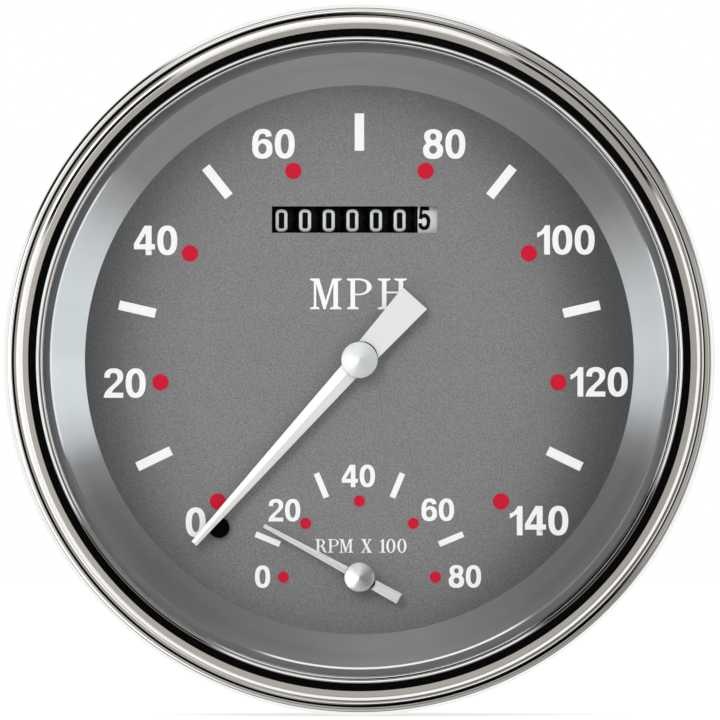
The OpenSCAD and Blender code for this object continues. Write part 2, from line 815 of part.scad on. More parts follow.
// Can: a cup with its floor on the carrier plate, held by three tabs riveted behind it
module can(can_r) {
    translate([0, 0, z_carrier_front]) {
        difference() {
            cylinder(r = can_r, h = can_h);
            translate([0, 0, can_wall]) cylinder(r = can_r - can_wall, h = can_h);
        }
        for (a = tab_angles)
            rotate([0, 0, a]) translate([can_r - tab_inset, 0, -carrier_t - tab_out])
                cylinder(r = tab_r, h = carrier_t + tab_out + can_wall / 2, $fn = 24);
    }
}

module speed_turned() {
    rotate([0, 0, -speed_rest]) children();
}

module tach_turned() {
    translate([0, tach_y, 0]) rotate([0, 0, -tach_rest]) children();
}

module speed_needle() {
    color(pointer_white) placed() speed_turned() translate([0, 0, z_needle])
        pointer(speed_needle_l, speed_needle_w, speed_tip_w, speed_tail_l, speed_tail_w, speed_cap_d);
}

module speed_hub_cap() {
    color(pointer_white) placed() translate([0, 0, z_needle]) hub_cap(speed_cap_d);
}

module speed_spindle() {
    color(plated_steel) placed() spindle();
}

module speed_rotor() {
    color(magnet_grey) placed() rotor(speed_can_d / 2);
}

module speed_bobbin() {
    color(milky_plastic) placed() bobbin(speed_can_d / 2);
}

module speed_coils() {
    color(copper) placed() coils(speed_can_d / 2);
}

module speed_can() {
    color(plated_steel) placed() can(speed_can_d / 2);
}

module tach_needle() {
    color(polished_aluminium) placed() tach_turned() translate([0, 0, z_needle])
        pointer(tach_needle_l, tach_needle_w, tach_tip_w, tach_tail_l, tach_tail_w, tach_cap_d);
}

module tach_hub_cap() {
    color(pointer_white) placed() translate([0, tach_y, z_needle]) hub_cap(tach_cap_d);
}

module tach_spindle() {
    color(plated_steel) placed() translate([0, tach_y, 0]) spindle();
}

module tach_rotor() {
    color(magnet_grey) placed() translate([0, tach_y, 0]) rotor(tach_can_d / 2);
}

module tach_bobbin() {
    color(milky_plastic) placed() translate([0, tach_y, 0]) bobbin(tach_can_d / 2);
}

module tach_coils() {
    color(copper) placed() translate([0, tach_y, 0]) coils(tach_can_d / 2);
}

module tach_can() {
    color(plated_steel) placed() translate([0, tach_y, 0]) can(tach_can_d / 2);
}

// Number wheel: rim, web and hub, a gear on its right side and a two-tooth driver on
// its left side. Wheel 0 is on the left, and the last one is white and has a wider rim.
module number_wheel(i) {
    last = i == wheel_count - 1;
    x = window_x + (i - (wheel_count - 1) / 2) * wheel_pitch;
    right = rim_w / 2 + (last ? last_rim_extra : 0);
    gear_t = last ? drive_gear_t : side_gear_t;
    hub_left = -wheel_pitch / 2 + hub_play / 2;
    hub_right = last ? right + gear_t + hub_play : wheel_pitch / 2 - hub_play / 2;
    gear_phase = last ? idler_angle : pinion_angle;
    driver_r = wheel_gear_r + gear_tip - driver_r_drop;
    end = gear_phase + 180 / wheel_teeth;
    first = end - driver_teeth * 360 / wheel_teeth;
    color(last ? tenths_white : black_plastic) placed() sideways(x, [window_y, z_drum]) difference() {
        union() {
            translate([0, 0, -rim_w / 2]) difference() {
                cylinder(r = drum_r, h = rim_w / 2 + right);
                translate([0, 0, -rim_w]) cylinder(r = drum_r - rim_t, h = 3 * rim_w + right);
            }
            translate([0, 0, -web_t / 2]) cylinder(r = drum_r - rim_t / 2, h = web_t);
            translate([0, 0, hub_left]) cylinder(r = hub_r, h = hub_right - hub_left, $fn = 48);
            translate([0, 0, right - gear_sink]) linear_extrude(height = gear_t + gear_sink) difference() {
                gear_shape(wheel_teeth, gear_tip, gear_phase);
                circle(r = gear_ring_in);
            }
            translate([0, 0, -rim_w / 2 - driver_t])
                linear_extrude(height = driver_t + gear_sink) difference() {
                union() {
                    circle(r = driver_r);
                    intersection() {
                        gear_shape(wheel_teeth, gear_tip, gear_phase);
                        polygon([[0, 0], for (a = [first, end]) drum_d * [cos(a), sin(a)]]);
                    }
                }
                circle(r = gear_ring_in);
            }
        }
        translate([0, 0, -wheel_pitch])
            cylinder(r = drum_shaft_r + running_gap, h = 3 * wheel_pitch, $fn = 48);
    }
}

// Transfer pinion between wheels i - 1 and i: its teeth run in the gap between the rims
module transfer_pinion(i) {
    left_wheel = window_x + (i - 1 - (wheel_count - 1) / 2) * wheel_pitch;
    hub_l = wheel_pitch - pinion_hub_play;
    phase = pinion_angle + 180 + 180 / pinion_teeth;
    color(milky_plastic) placed() sideways(left_wheel, pinion_pos) difference() {
        union() {
            translate([0, 0, (wheel_pitch - hub_l) / 2]) cylinder(r = pinion_hub_r, h = hub_l, $fn = 48);
            translate([0, 0, rim_w / 2 + pinion_disc_in]) linear_extrude(height = pinion_disc_t)
                gear_shape(pinion_teeth, pinion_tip, phase);
        }
        translate([0, 0, -wheel_pitch])
            cylinder(r = pinion_shaft_r + running_gap, h = 3 * wheel_pitch, $fn = 48);
    }
}

module cross_shaft(pos, r) {
    left = x_left_plate - frame_t - shaft_out;
    right = x_right_plate + frame_t + shaft_out;
    color(plated_steel) placed() sideways(left, pos) cylinder(r = r, h = right - left, $fn = 48);
}

module odometer_shaft() {
    cross_shaft([window_y, z_drum], drum_shaft_r);
}

module pinion_shaft() {
    cross_shaft(pinion_pos, pinion_shaft_r);
}

module idler_gear() {
    phase = idler_angle + 180 + 180 / idler_teeth;
    color(milky_plastic) placed() sideways(x_drive + drive_side, idler_pos) difference() {
        linear_extrude(height = drive_gear_t - 2 * drive_side) gear_shape(idler_teeth, gear_tip, phase);
        translate([0, 0, -drive_gear_t])
            cylinder(r = idler_pin_r + running_gap, h = 3 * drive_gear_t, $fn = 48);
    }
}

module idler_pin() {
    head_x = x_drive + drive_side - running_gap - idler_head_t;
    color(plated_steel) placed() sideways(head_x, idler_pos) {
        cylinder(r = idler_head_r, h = idler_head_t, $fn = 48);
        cylinder(r = idler_pin_r, h = x_right_plate + frame_t + shaft_out - head_x, $fn = 48);
    }
}

// The idler's phase at the motor's side decides the phase of the motor's pinion
module motor_pinion() {
    idler_phase = idler_angle + 180 + 180 / idler_teeth;
    lead = (motor_angle - idler_phase) * idler_teeth / pinion_teeth;
    phase = motor_angle + 180 + 180 / pinion_teeth + lead;
    shaft_l = x_right_plate + frame_t + motor_shaft_in - x_drive;
    color(brass) placed() sideways(x_drive, motor_pos) {
        linear_extrude(height = drive_gear_t) gear_shape(pinion_teeth, pinion_tip, phase);
        cylinder(r = motor_shaft_r, h = shaft_l, $fn = 48);
    }
}

module odometer_motor() {
    color(plated_steel) placed() sideways(x_right_plate + frame_t, motor_pos) difference() {
        union() {
            cylinder(r = motor_r, h = motor_l);
            cylinder(r = motor_r + motor_flange_w, h = frame_t);
        }
        translate([0, 0, -motor_l])
            cylinder(r = motor_shaft_r + running_gap, h = motor_l + motor_shaft_in + side_gap, $fn = 48);
    }
}

// Frame: two side plates joined by a back plate, and a foot below the motor
module odometer_frame() {
    front = z_dial_back - plate_front;
    depth = front - z_carrier_front;
    left = x_left_plate - frame_t;
    right = x_right_plate + frame_t;
    low = window_y - frame_bottom;
    high = window_y + frame_top;
    foot_low = foot_screw[1] - foot_l / 2;
    color(plated_steel) placed() difference() {
        union() {
            translate([left, low, z_carrier_front]) cube([frame_t, high - low, depth]);
            translate([x_right_plate, foot_low, z_carrier_front]) cube([frame_t, high - foot_low, depth]);
            translate([left, low, z_carrier_front]) cube([right - left, high - low, frame_t]);
            translate([x_right_plate, foot_low, z_carrier_front]) cube([frame_t + foot_w, foot_l, frame_t]);
        }
        sideways(left - frame_t, [window_y, z_drum])
            cylinder(r = drum_shaft_r, h = right - left + 2 * frame_t, $fn = 48);
        sideways(left - frame_t, pinion_pos)
            cylinder(r = pinion_shaft_r, h = right - left + 2 * frame_t, $fn = 48);
        sideways(x_right_plate - frame_t, idler_pos) cylinder(r = idler_pin_r, h = 3 * frame_t, $fn = 48);
        sideways(x_right_plate - frame_t, motor_pos)
            cylinder(r = motor_shaft_r + side_gap, h = 3 * frame_t, $fn = 48);
        for (p = concat(frame_screw_places, [foot_screw]))
            translate([p[0], p[1], z_carrier_front - frame_t])
                cylinder(r = screw_r + running_gap, h = 3 * frame_t, $fn = 24);
    }
}

module dial_posts() {
    l = z_dial_back - z_carrier_front;
    color(plated_steel) placed() for (p = post_places)
        translate([p[0], p[1], z_carrier_front]) difference() {
            cylinder(r = post_r, h = l, $fn = 48);
            translate([0, 0, -over]) cylinder(r = screw_r + running_gap, h = screw_bite + 2 * over, $fn = 24);
        }
}

module carrier_plate() {
    movements = [[0, speed_can_d / 2], [tach_y, tach_can_d / 2]];
    color(plated_steel) placed() difference() {
        translate([0, 0, z_carrier_back]) cylinder(r = carrier_r, h = carrier_t);
        translate([0, 0, z_carrier_back - carrier_t]) {
            for (p = concat(post_places, frame_screw_places, [foot_screw]))
                translate([p[0], p[1], 0]) cylinder(r = screw_r + loose_gap, h = 3 * carrier_t, $fn = 24);
            for (x = [-stud_x, stud_x])
                translate([x, 0, 0]) cylinder(r = stud_neck_r + running_gap, h = 3 * carrier_t, $fn = 48);
            for (a = lamp_angles)
                rotate([0, 0, a]) translate([lamp_ring - lamp_window_shift, 0, 0])
                    cylinder(r = lamp_r + lamp_window_spare, h = 3 * carrier_t, $fn = 64);
            for (m = movements, a = tab_angles)
                translate([0, m[0], 0]) rotate([0, 0, a]) translate([m[1] - tab_inset, 0, 0])
                    cylinder(r = tab_r + running_gap, h = 3 * carrier_t, $fn = 24);
        }
    }
}

// A pan-head screw with its head's underside at z = 0 and its shank pointing at the driver
module screw(l) {
    difference() {
        union() {
            translate([0, 0, -screw_head_t]) cylinder(r = screw_head_r, h = screw_head_t, $fn = 48);
            cylinder(r = screw_r, h = l, $fn = 24);
        }
        translate([-screw_head_r, -slot_w / 2, -screw_head_t - over])
            cube([2 * screw_head_r, slot_w, slot_depth + over]);
    }
}

module machine_screws() {
    color(plated_steel) placed() {
        for (p = post_places)
            translate([p[0], p[1], z_carrier_back]) screw(carrier_t + screw_bite);
        for (p = concat(frame_screw_places, [foot_screw]))
            translate([p[0], p[1], z_carrier_back]) screw(carrier_t + frame_t);
        for (p = standoff_places)
            translate([p[0], p[1], z_board_back]) screw(board_t + screw_bite);
    }
}

module board_standoffs() {
    color(brass) placed() for (p = standoff_places)
        translate([p[0], p[1], z_board_front]) difference() {
            cylinder(r = standoff_r, h = standoff_l, $fn = 6);
            translate([0, 0, -over]) cylinder(r = screw_r + running_gap, h = screw_bite + 2 * over, $fn = 24);
        }
}

module circuit_board() {
    color(board_green) placed() difference() {
        translate([0, 0, z_board_back]) cylinder(r = board_r, h = board_t);
        translate([0, 0, z_board_back - board_t]) {
            for (x = [-stud_x, stud_x])
                translate([x, 0, 0]) cylinder(r = stud_shoulder_r + loose_gap, h = 3 * board_t, $fn = 48);
            for (p = standoff_places)
                translate([p[0], p[1], 0]) cylinder(r = screw_r + loose_gap, h = 3 * board_t, $fn = 24);
        }
    }
}

// Parts on the front of the board: [x, y, width, height, depth] of the square ones and
// [x, y, radius, depth] of the round ones
square_parts = [[-6, 4, 12, 9, 2.4], [10, 5, 7, 6, 1.8], [0, -13, 10, 4.5, 9], [-14, -8, 6, 5, 1.6]];
round_parts = [[-2, 22, 4, 10], [8, 21, 3.2, 8], [13, -9, 3.2, 7], [-10, 18, 2.4, 3.6]];

module board_parts() {
    color(black_plastic) placed() translate([0, 0, z_board_front]) {
        for (p = square_parts)
            translate([p[0] - p[2] / 2, p[1] - p[3] / 2, 0]) cube([p[2], p[3], p[4]]);
        for (p = round_parts)
            translate([p[0], p[1], 0]) cylinder(r = p[2], h = p[3], $fn = 48);
    }
}

// Studs: a head riveted on the carrier plate, a shoulder that spaces the case from the
// plate, and the thread behind the case. Thread and nut meet at half the thread's depth.
module mounting_studs() {
    end = z_case_back - stud_l;
    color(plated_steel) placed() for (x = [-stud_x, stud_x])
        translate([x, 0, 0]) rotate_extrude($fn = 64) polygon([
            [0, z_carrier_front + stud_head_t],
            [stud_head_r, z_carrier_front + stud_head_t],
            [stud_head_r, z_carrier_front],
            [stud_neck_r, z_carrier_front],
            [stud_neck_r, z_carrier_back],
            [stud_shoulder_r, z_carrier_back],
            [stud_shoulder_r, z_case_in],
            [thread_met_r, z_case_in],
            [thread_met_r, z_nut_back],
            [stud_r, z_nut_back],
            [stud_r, end + stud_chamfer],
            [stud_r - stud_chamfer, end],
            [0, end]
        ]);
}

module stud_nuts() {
    color(plated_steel) placed() for (x = [-stud_x, stud_x])
        translate([x, 0, z_nut_back]) difference() {
            union() {
                cylinder(d = nut_flats / cos(30), h = nut_t, $fn = 6);
                translate([0, 0, nut_t]) cylinder(r = washer_r, h = washer_t, $fn = 64);
            }
            translate([0, 0, -nut_t]) cylinder(r = thread_met_r + running_gap, h = 3 * nut_t, $fn = 48);
        }
}

function blade_x(i) = (i - (blade_count - 1) / 2) * blade_pitch;

module terminal_block() {
    l = z_board_back - z_case_back + block_out;
    color(black_plastic) placed() difference() {
        translate([-block_w / 2, block_y - block_h / 2, z_board_back - l]) cube([block_w, block_h, l]);
        for (i = [0:blade_count - 1])
            translate([blade_x(i) - blade_w / 2, block_y - blade_t / 2, z_board_back - l - over])
                cube([blade_w, blade_t, blade_in + over]);
    }
}

module terminal_blades() {
    root = z_case_back - block_out + blade_in;
    color(brass) placed() for (i = [0:blade_count - 1])
        translate([blade_x(i), block_y + blade_t / 2, root]) rotate([90, 0, 0])
            linear_extrude(height = blade_t) polygon([
                [-blade_w / 2, 0],
                [blade_w / 2, 0],
                [blade_w / 2, -blade_in - blade_l + blade_chamfer],
                [blade_w / 2 - blade_chamfer, -blade_in - blade_l],
                [blade_chamfer - blade_w / 2, -blade_in - blade_l],
                [-blade_w / 2, -blade_in - blade_l + blade_chamfer]
            ]);
}

module at_lamps() {
    placed() for (a = lamp_angles)
        rotate([0, 0, a]) translate([lamp_ring, 0, z_case_back]) rotate([0, 0, -a]) children();
}

module lamp_sockets() {
    color(black_plastic) at_lamps() difference() {
        union() {
            translate([0, 0, -socket_out]) cylinder(r = socket_r - socket_step, h = socket_out, $fn = 64);
            translate([0, 0, -socket_flange_t]) cylinder(r = socket_flange_r, h = socket_flange_t, $fn = 64);
            cylinder(r = socket_r, h = case_wall + socket_in, $fn = 64);
            translate([grip_inset - socket_flange_r, -grip_t / 2, -socket_out - grip_l])
                cube([2 * (socket_flange_r - grip_inset), grip_t, socket_out + grip_l - socket_flange_t / 2]);
        }
        translate([0, 0, case_wall + socket_in - lamp_base])
            cylinder(r = lamp_r + running_gap, h = lamp_base + over, $fn = 64);
    }
}

module lamps() {
    color(clear_glass) at_lamps() translate([0, 0, case_wall + socket_in - lamp_base])
        rotate_extrude($fn = 64) polygon(concat(
            [[0, 0], [lamp_r, 0]],
            arc(0, lamp_l - lamp_r, lamp_r, 0, 90, 8)
        ));
}

// The button's flange rests against the lid of its housing and is held there by a spring
module calibration_button() {
    lid_in = z_board_back - housing_h + housing_lid;
    color(black_plastic) placed() translate([button_x, button_y, 0]) {
        translate([0, 0, lid_in]) cylinder(r = button_r + button_flange, h = button_flange_t, $fn = 48);
        translate([0, 0, z_case_back - button_out])
            cylinder(r = button_r, h = lid_in - z_case_back + button_out + button_flange_t, $fn = 48);
    }
}

module button_housing() {
    color(black_plastic) placed() translate([button_x, button_y, z_board_back - housing_h]) difference() {
        cylinder(r = housing_r, h = housing_h, $fn = 48);
        translate([0, 0, housing_lid])
            cylinder(r = housing_in_r, h = housing_h - housing_lid - housing_floor, $fn = 48);
        translate([0, 0, -over]) cylinder(r = button_r + running_gap, h = housing_lid + 2 * over, $fn = 48);
    }
}

// A tube swept along a helix, with a level ring at each end
module button_spring() {
    low = z_board_back - housing_h + housing_lid + button_flange_t + spring_wire_r;
    high = z_board_back - housing_floor - spring_wire_r;
    n = spring_turns * spring_rings;
    points = [
        for (i = [0:n], k = [0:spring_sides - 1])
            let (turn = 360 * i / spring_rings, side = 360 * k / spring_sides)
            let (r = spring_r + spring_wire_r * cos(side))
            [r * cos(turn), r * sin(turn), low + (high - low) * i / n + spring_wire_r * sin(side)]
    ];
    sides = [
        for (i = [0:n - 1], k = [0:spring_sides - 1])
            let (a = i * spring_sides + k, b = i * spring_sides + (k + 1) % spring_sides)
            [a, b, b + spring_sides, a + spring_sides]
    ];
    start = [for (k = [0:spring_sides - 1]) spring_sides - 1 - k];
    end = [for (k = [0:spring_sides - 1]) n * spring_sides + k];
    color(plated_steel) placed() translate([button_x, button_y, 0])
        polyhedron(points, concat(sides, [start, end]), convexity = 4);
}

bezel();
lens();
lens_gasket();
trim_ring();
light_ring();
case();
dial();
dial_tick_marks();
dial_dots();
pointer_stop();
speed_needle();
speed_hub_cap();
speed_spindle();
speed_rotor();
speed_bobbin();
speed_coils();
speed_can();
tach_needle();
tach_hub_cap();
tach_spindle();
tach_rotor();
tach_bobbin();
tach_coils();
tach_can();
odometer_frame();
odometer_shaft();
number_wheel(0);  // wheel_hundred_thousands
number_wheel(1);  // wheel_ten_thousands
number_wheel(2);  // wheel_thousands
number_wheel(3);  // wheel_hundreds
number_wheel(4);  // wheel_tens
number_wheel(5);  // wheel_ones
number_wheel(6);  // wheel_tenths
pinion_shaft();
transfer_pinion(1);  // transfer_pinion_1
transfer_pinion(2);  // transfer_pinion_2
transfer_pinion(3);  // transfer_pinion_3
transfer_pinion(4);  // transfer_pinion_4
transfer_pinion(5);  // transfer_pinion_5
transfer_pinion(6);  // transfer_pinion_6
idler_gear();
idler_pin();
motor_pinion();
odometer_motor();
dial_posts();
carrier_plate();
machine_screws();
circuit_board();
board_parts();
board_standoffs();
mounting_studs();
stud_nuts();
terminal_block();
terminal_blades();
lamp_sockets();
lamps();
calibration_button();
button_housing();
button_spring();
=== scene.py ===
import json
from math import atan2, cos, degrees, pi, radians, sin, tan

import bpy
from bpy.props import FloatProperty, FloatVectorProperty, PointerProperty
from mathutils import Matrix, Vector


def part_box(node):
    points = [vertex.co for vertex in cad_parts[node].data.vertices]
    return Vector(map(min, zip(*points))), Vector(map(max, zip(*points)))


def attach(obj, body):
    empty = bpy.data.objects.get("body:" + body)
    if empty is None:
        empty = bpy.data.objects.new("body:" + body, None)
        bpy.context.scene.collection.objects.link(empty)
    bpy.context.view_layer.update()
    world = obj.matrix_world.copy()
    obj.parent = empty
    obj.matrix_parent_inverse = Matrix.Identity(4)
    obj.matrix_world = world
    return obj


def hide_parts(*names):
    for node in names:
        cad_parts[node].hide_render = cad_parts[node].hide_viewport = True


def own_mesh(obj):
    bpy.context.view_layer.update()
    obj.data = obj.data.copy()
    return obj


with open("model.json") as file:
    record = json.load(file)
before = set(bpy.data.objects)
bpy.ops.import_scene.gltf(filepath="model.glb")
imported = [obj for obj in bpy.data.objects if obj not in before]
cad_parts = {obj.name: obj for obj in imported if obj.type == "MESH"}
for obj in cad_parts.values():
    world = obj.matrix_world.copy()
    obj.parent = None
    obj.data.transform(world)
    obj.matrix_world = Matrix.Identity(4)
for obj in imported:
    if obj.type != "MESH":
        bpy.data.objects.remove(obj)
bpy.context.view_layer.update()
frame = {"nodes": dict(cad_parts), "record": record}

bl_info = {
    "name": "Dash speedometer",
    "version": (1, 0, 0),
    "blender": (4, 5, 0),
    "location": "View3D > Sidebar > Speedometer",
    "description": "Dresses a packed speedometer with a polished bezel, printed dial and pointers",
    "category": "Object",
}

# Everything is drawn in millimetres as seen from the driver's seat: x to the right, y up and
# z towards the eye, from the panel seat. finish_piece() stands a piece up and makes it metres.
METRE = 0.001
MERGE = 1e-4


def level(node, end):
    """Height of a node's front (end 1) or back (end 0), in millimetres."""
    low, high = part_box(node)
    return -(low if end else high).y / METRE


def reach(node):
    """Largest distance of a round node from the main axis, in millimetres."""
    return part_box(node)[1].x / METRE


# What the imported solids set
BEZEL_R, RING_R, LENS_R, DIAL_R = (reach(node) for node in ("bezel", "trim_ring", "lens", "dial"))
Z_LENS_BACK, Z_LENS_FRONT = level("lens", 0), level("lens", 1)
Z_DIAL_BACK, Z_DIAL = level("dial", 0), level("dial", 1)
Z_TRIM, Z_CREST, Z_CASE_BACK = level("trim_ring", 1), level("bezel", 1), level("case", 0)

# Bezel, cone and case
Z_LIP_BACK, Z_LIP, SHEET = 6.2, 7.0, 0.8
OPENING_R = BEZEL_R - 7.1
CONE_TOP_R, DIAL_VIEW_R = 55.3, 49.1
CASE_WALL, CASE_CORNER, BARREL_R = 1.0, 4.0, 58.0

# Print and pointers
MARK_T = 0.1
Z_NEEDLE = Z_DIAL + 2
TACH_Y = 10.25 - DIAL_VIEW_R
SPEED_REST, TACH_REST = -138.0, -61.65
STOP_TURN, STOP_RING = -140.1, 39.1

# Odometer
DRUM_R, DRUM_X, DRUM_Y, Z_DRUM = 8.5, -0.855, 25.1, -12.4
WINDOW_W, WINDOW_H = 29.6, 4.72
WHEEL_PITCH = WINDOW_W / 7
WHEELS = ["hundred_thousands", "ten_thousands", "thousands", "hundreds", "tens", "ones", "tenths"]

# Fittings on the back
STUD_X, STUD_R, NUT_FLATS, WASHER_T = 25.4, 2.4, 9.5, 0.8
SOCKET_R, LAMP_RING, LAMP_TURNS = 6.7, 44.0, (45, -45)
BLOCK_Y, BLOCK_W, BLOCK_H = -13.0, 40.8, 11.0
BLADE_W, BLADE_T, BLADE_PITCH = 4.8, 0.8, 6.4
BUTTON_Y, BUTTON_TRAVEL = 12.0, 1.2


def linear(hexed):
    """An sRGB hex colour as linear red, green and blue."""
    parts = [int(hexed[i:i + 2], 16) / 255 for i in (1, 3, 5)]
    return tuple(v / 12.92 if v <= 0.04045 else ((v + 0.055) / 1.055) ** 2.4 for v in parts)


def shade(colour, share):
    """A linear colour made darker or lighter by a share."""
    return tuple(min(1.0, c * share) for c in colour)


def colour_property(name, description, hexed):
    return FloatVectorProperty(name=name, description=description, subtype="COLOR", size=3,
                               min=0, max=1, default=linear(hexed))


def length_property(name, description, default, low, high):
    return FloatProperty(name=name, description=description, unit="LENGTH", default=default,
                         min=low, max=high)


class SpeedometerColours(bpy.types.PropertyGroup):
    """Colours of the finishes"""
    steel: colour_property("Polished steel", "Tint of the bezel's reflections", "#f4f3f1")
    cone: colour_property("Polished aluminium", "Tint of the trim ring's cone", "#f2f4f5")
    flange: colour_property("Anodised rim", "Grey of the flat rim round the cone", "#7a7c7e")
    dial: colour_property("Dial paint", "Grey in the middle of the dial", "#838383")
    # the rim's grey is painted shade: the darkening that the cone casts on the dial
    dial_edge: colour_property("Dial edge", "Grey at the rim of the dial", "#505152")
    marks: colour_property("Printed white", "Numerals and tick marks", "#ffffff")
    dots: colour_property("Printed red", "Dots of both scales", "#d51d37")
    pointer: colour_property("Pointer enamel", "Speed pointer", "#fbfbf9")


class SpeedometerSizes(bpy.types.PropertyGroup):
    """Sizes of the print, the polish and the camera's place"""
    numeral: length_property("Numeral height", "Height of the speed numerals",
                             0.00526, 0.003, 0.007)
    small_numeral: length_property("Small numeral height", "Height of the tachometer's numerals",
                                   0.00402, 0.002, 0.006)
    wheel_numeral: length_property("Wheel numeral height", "Height of the odometer's numerals",
                                   0.004, 0.002, 0.0045)
    buff_line: length_property("Buffing line", "Distance between the buff's rings on spun metal",
                               0.00022, 0.00005, 0.001)
    camera_distance: length_property("Camera distance", "Distance from the camera to the dial",
                                     5.0, 2, 8)


# Drawing

def take(obj):
    """Makes one object the only selected and active one."""
    bpy.ops.object.select_all(action="DESELECT")
    obj.select_set(True)
    bpy.context.view_layer.objects.active = obj
    return obj


def edit(obj, *steps):
    """Runs edit-mode operators on the whole mesh, each given as (operator, settings)."""
    take(obj)
    bpy.ops.object.mode_set(mode="EDIT")
    for operator, settings in steps:
        bpy.ops.mesh.select_all(action="SELECT")
        operator(**settings)
    bpy.ops.object.mode_set(mode="OBJECT")
    return obj


def settle(obj):
    """Puts the object's place, turn and size into its mesh."""
    take(obj)
    bpy.ops.object.transform_apply(location=True, rotation=True, scale=True)
    return obj


def shift(obj, x=0.0, y=0.0, z=0.0, turn=0.0):
    """Turns a piece clockwise as the driver sees it, then moves it, both in its mesh."""
    obj.rotation_euler = (0, 0, -radians(turn))
    settle(obj)
    obj.location = (x, y, z)
    return settle(obj)


def tidy_shell(obj, smooth=30):
    """Merges doubled vertices, turns all faces outwards and smooths all but sharp edges."""
    edit(obj, (bpy.ops.mesh.remove_doubles, {"threshold": MERGE}),
         (bpy.ops.mesh.dissolve_degenerate, {"threshold": MERGE / 10}),
         (bpy.ops.mesh.delete_loose, {}),
         (bpy.ops.mesh.normals_make_consistent, {"inside": False}))
    bpy.ops.object.shade_smooth_by_angle(angle=radians(smooth))
    return obj


def modify(obj, kind, **settings):
    """Adds a modifier with its settings and applies it."""
    take(obj)
    modifier = obj.modifiers.new(kind.title(), kind)
    for key, value in settings.items():
        setattr(modifier, key, value)
    bpy.ops.object.modifier_apply(modifier=modifier.name)
    return obj


def bevel(obj, width, segments=2, angle=30):
    """Rounds the edges that are sharper than an angle."""
    modify(obj, "BEVEL", width=width, segments=segments, limit_method="ANGLE",
           angle_limit=radians(angle))
    bpy.ops.object.shade_smooth_by_angle(angle=radians(angle))
    return obj


def combine(obj, other, operation="UNION"):
    """Fuses another solid with this one, or cuts it out, and deletes the other."""
    modify(obj, "BOOLEAN", operation=operation, object=other, solver="EXACT")
    bpy.data.objects.remove(other)
    return tidy_shell(obj)


def join(name, parts):
    """Makes one piece of several closed ones, which stay whole inside it."""
    bpy.ops.object.select_all(action="DESELECT")
    for part in parts:
        part.select_set(True)
    bpy.context.view_layer.objects.active = parts[0]
    bpy.ops.object.join()
    parts[0].name = name
    return parts[0]


def copy(obj, name):
    """A copy with a mesh of its own."""
    twin = obj.copy()
    twin.data = obj.data.copy()
    twin.name = name
    bpy.context.scene.collection.objects.link(twin)
    return twin


def repeat(obj, places):
    """Replaces a piece with copies of it at (x, y, turn) places, joined into one."""
    name = obj.name
    twins = [shift(shift(copy(obj, "copy"), turn=turn), x=x, y=y) for x, y, turn in places]
    bpy.data.objects.remove(obj)
    return join(name, twins)


def arc(x, y, r, start, end, steps):
    """Points of an arc, its angles in degrees."""
    turns = [radians(start + (end - start) * i / steps) for i in range(steps + 1)]
    return [(x + r * cos(t), y + r * sin(t)) for t in turns]


def polar(r, turn, x=0.0, y=0.0):
    """The point at r from x, y and turn degrees clockwise from twelve o'clock."""
    return (x + r * sin(radians(turn)), y + r * cos(radians(turn)))


def loop(name, section):
    """A closed loop of edges through (radius, height) points."""
    bpy.ops.object.select_all(action="DESELECT")
    bpy.ops.mesh.primitive_circle_add(vertices=len(section), radius=1)
    obj = bpy.context.object
    obj.name = name
    for vertex, (r, z) in zip(obj.data.vertices, section):
        vertex.co = (r, 0, z)
    return obj


def lathe(name, section, steps=240, smooth=30):
    """Spins a closed section round the axis."""
    spun = edit(loop(name, section), (bpy.ops.mesh.spin, {
        "steps": steps, "angle": 2 * pi, "center": (0, 0, 0), "axis": (0, 0, 1)}))
    return tidy_shell(spun, smooth)


def wind(name, section, rise, turns):
    """Winds a closed section round the axis, rising by rise a turn, and closes its ends."""
    coil = modify(loop(name, section), "SCREW", angle=2 * pi, screw_offset=rise, steps=36,
                  render_steps=36, iterations=turns)
    return tidy_shell(edit(coil, (bpy.ops.mesh.fill_holes, {"sides": len(section)})))


def draw(name, lines, **settings):
    """The mesh of a curve with those settings. lines holds (points, closed), where (x, y) is a
    corner and (x, y, True) lies on a bend."""
    data = bpy.data.curves.new(name, "CURVE")
    for key, value in settings.items():
        setattr(data, key, value)
    data.resolution_u = 5
    for points, closed in lines:
        spline = data.splines.new("BEZIER")
        spline.bezier_points.add(len(points) - 1)
        spline.use_cyclic_u = closed
        for knot, point in zip(spline.bezier_points, points):
            knot.co = (point[0], point[1], 0)
            kind = "AUTO" if len(point) > 2 else "VECTOR"
            knot.handle_left_type = knot.handle_right_type = kind
    obj = bpy.data.objects.new(name, data)
    bpy.context.scene.collection.objects.link(obj)
    take(obj)
    bpy.ops.object.convert(target="MESH")
    return bpy.context.object


def outline(name, contours, thick, z=0.0):
    """Solid of that thickness on height z from flat closed contours."""
    obj = draw(name, [(points, True) for points in contours], dimensions="2D",
               fill_mode="BOTH", extrude=thick / 2)
    return tidy_shell(shift(obj, z=z + thick / 2))


def brush(name, lines, width, high):
    """Rounded strokes that stand high above z = 0 and reach as deep below it."""
    obj = draw(name, lines, dimensions="3D", bevel_depth=width / 2, bevel_resolution=1,
               use_fill_caps=True)
    obj.scale = (1, 1, 2 * high / width)
    return tidy_shell(shift(obj), 60)


def finish_piece(obj, slot, *nodes, body="housing", looks=()):
    """Stands a piece up in the frame, in metres, and gives it the finish of its slot or those in
    looks. It rides on body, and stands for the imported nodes."""
    obj.rotation_euler = (radians(90), 0, 0)
    obj.scale = (METRE, METRE, METRE)
    settle(obj)
    for look in looks or (slot,):
        obj.data.materials.append(finish(look))
    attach(obj, body)
    if nodes:
        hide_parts(*nodes)
    return obj


# Lettering, drawn point by point
# Contours are split by |, points by spaces; s marks a point on a bend, and @ starts an oval of
# centre x, centre y, half width, half height and squareness.

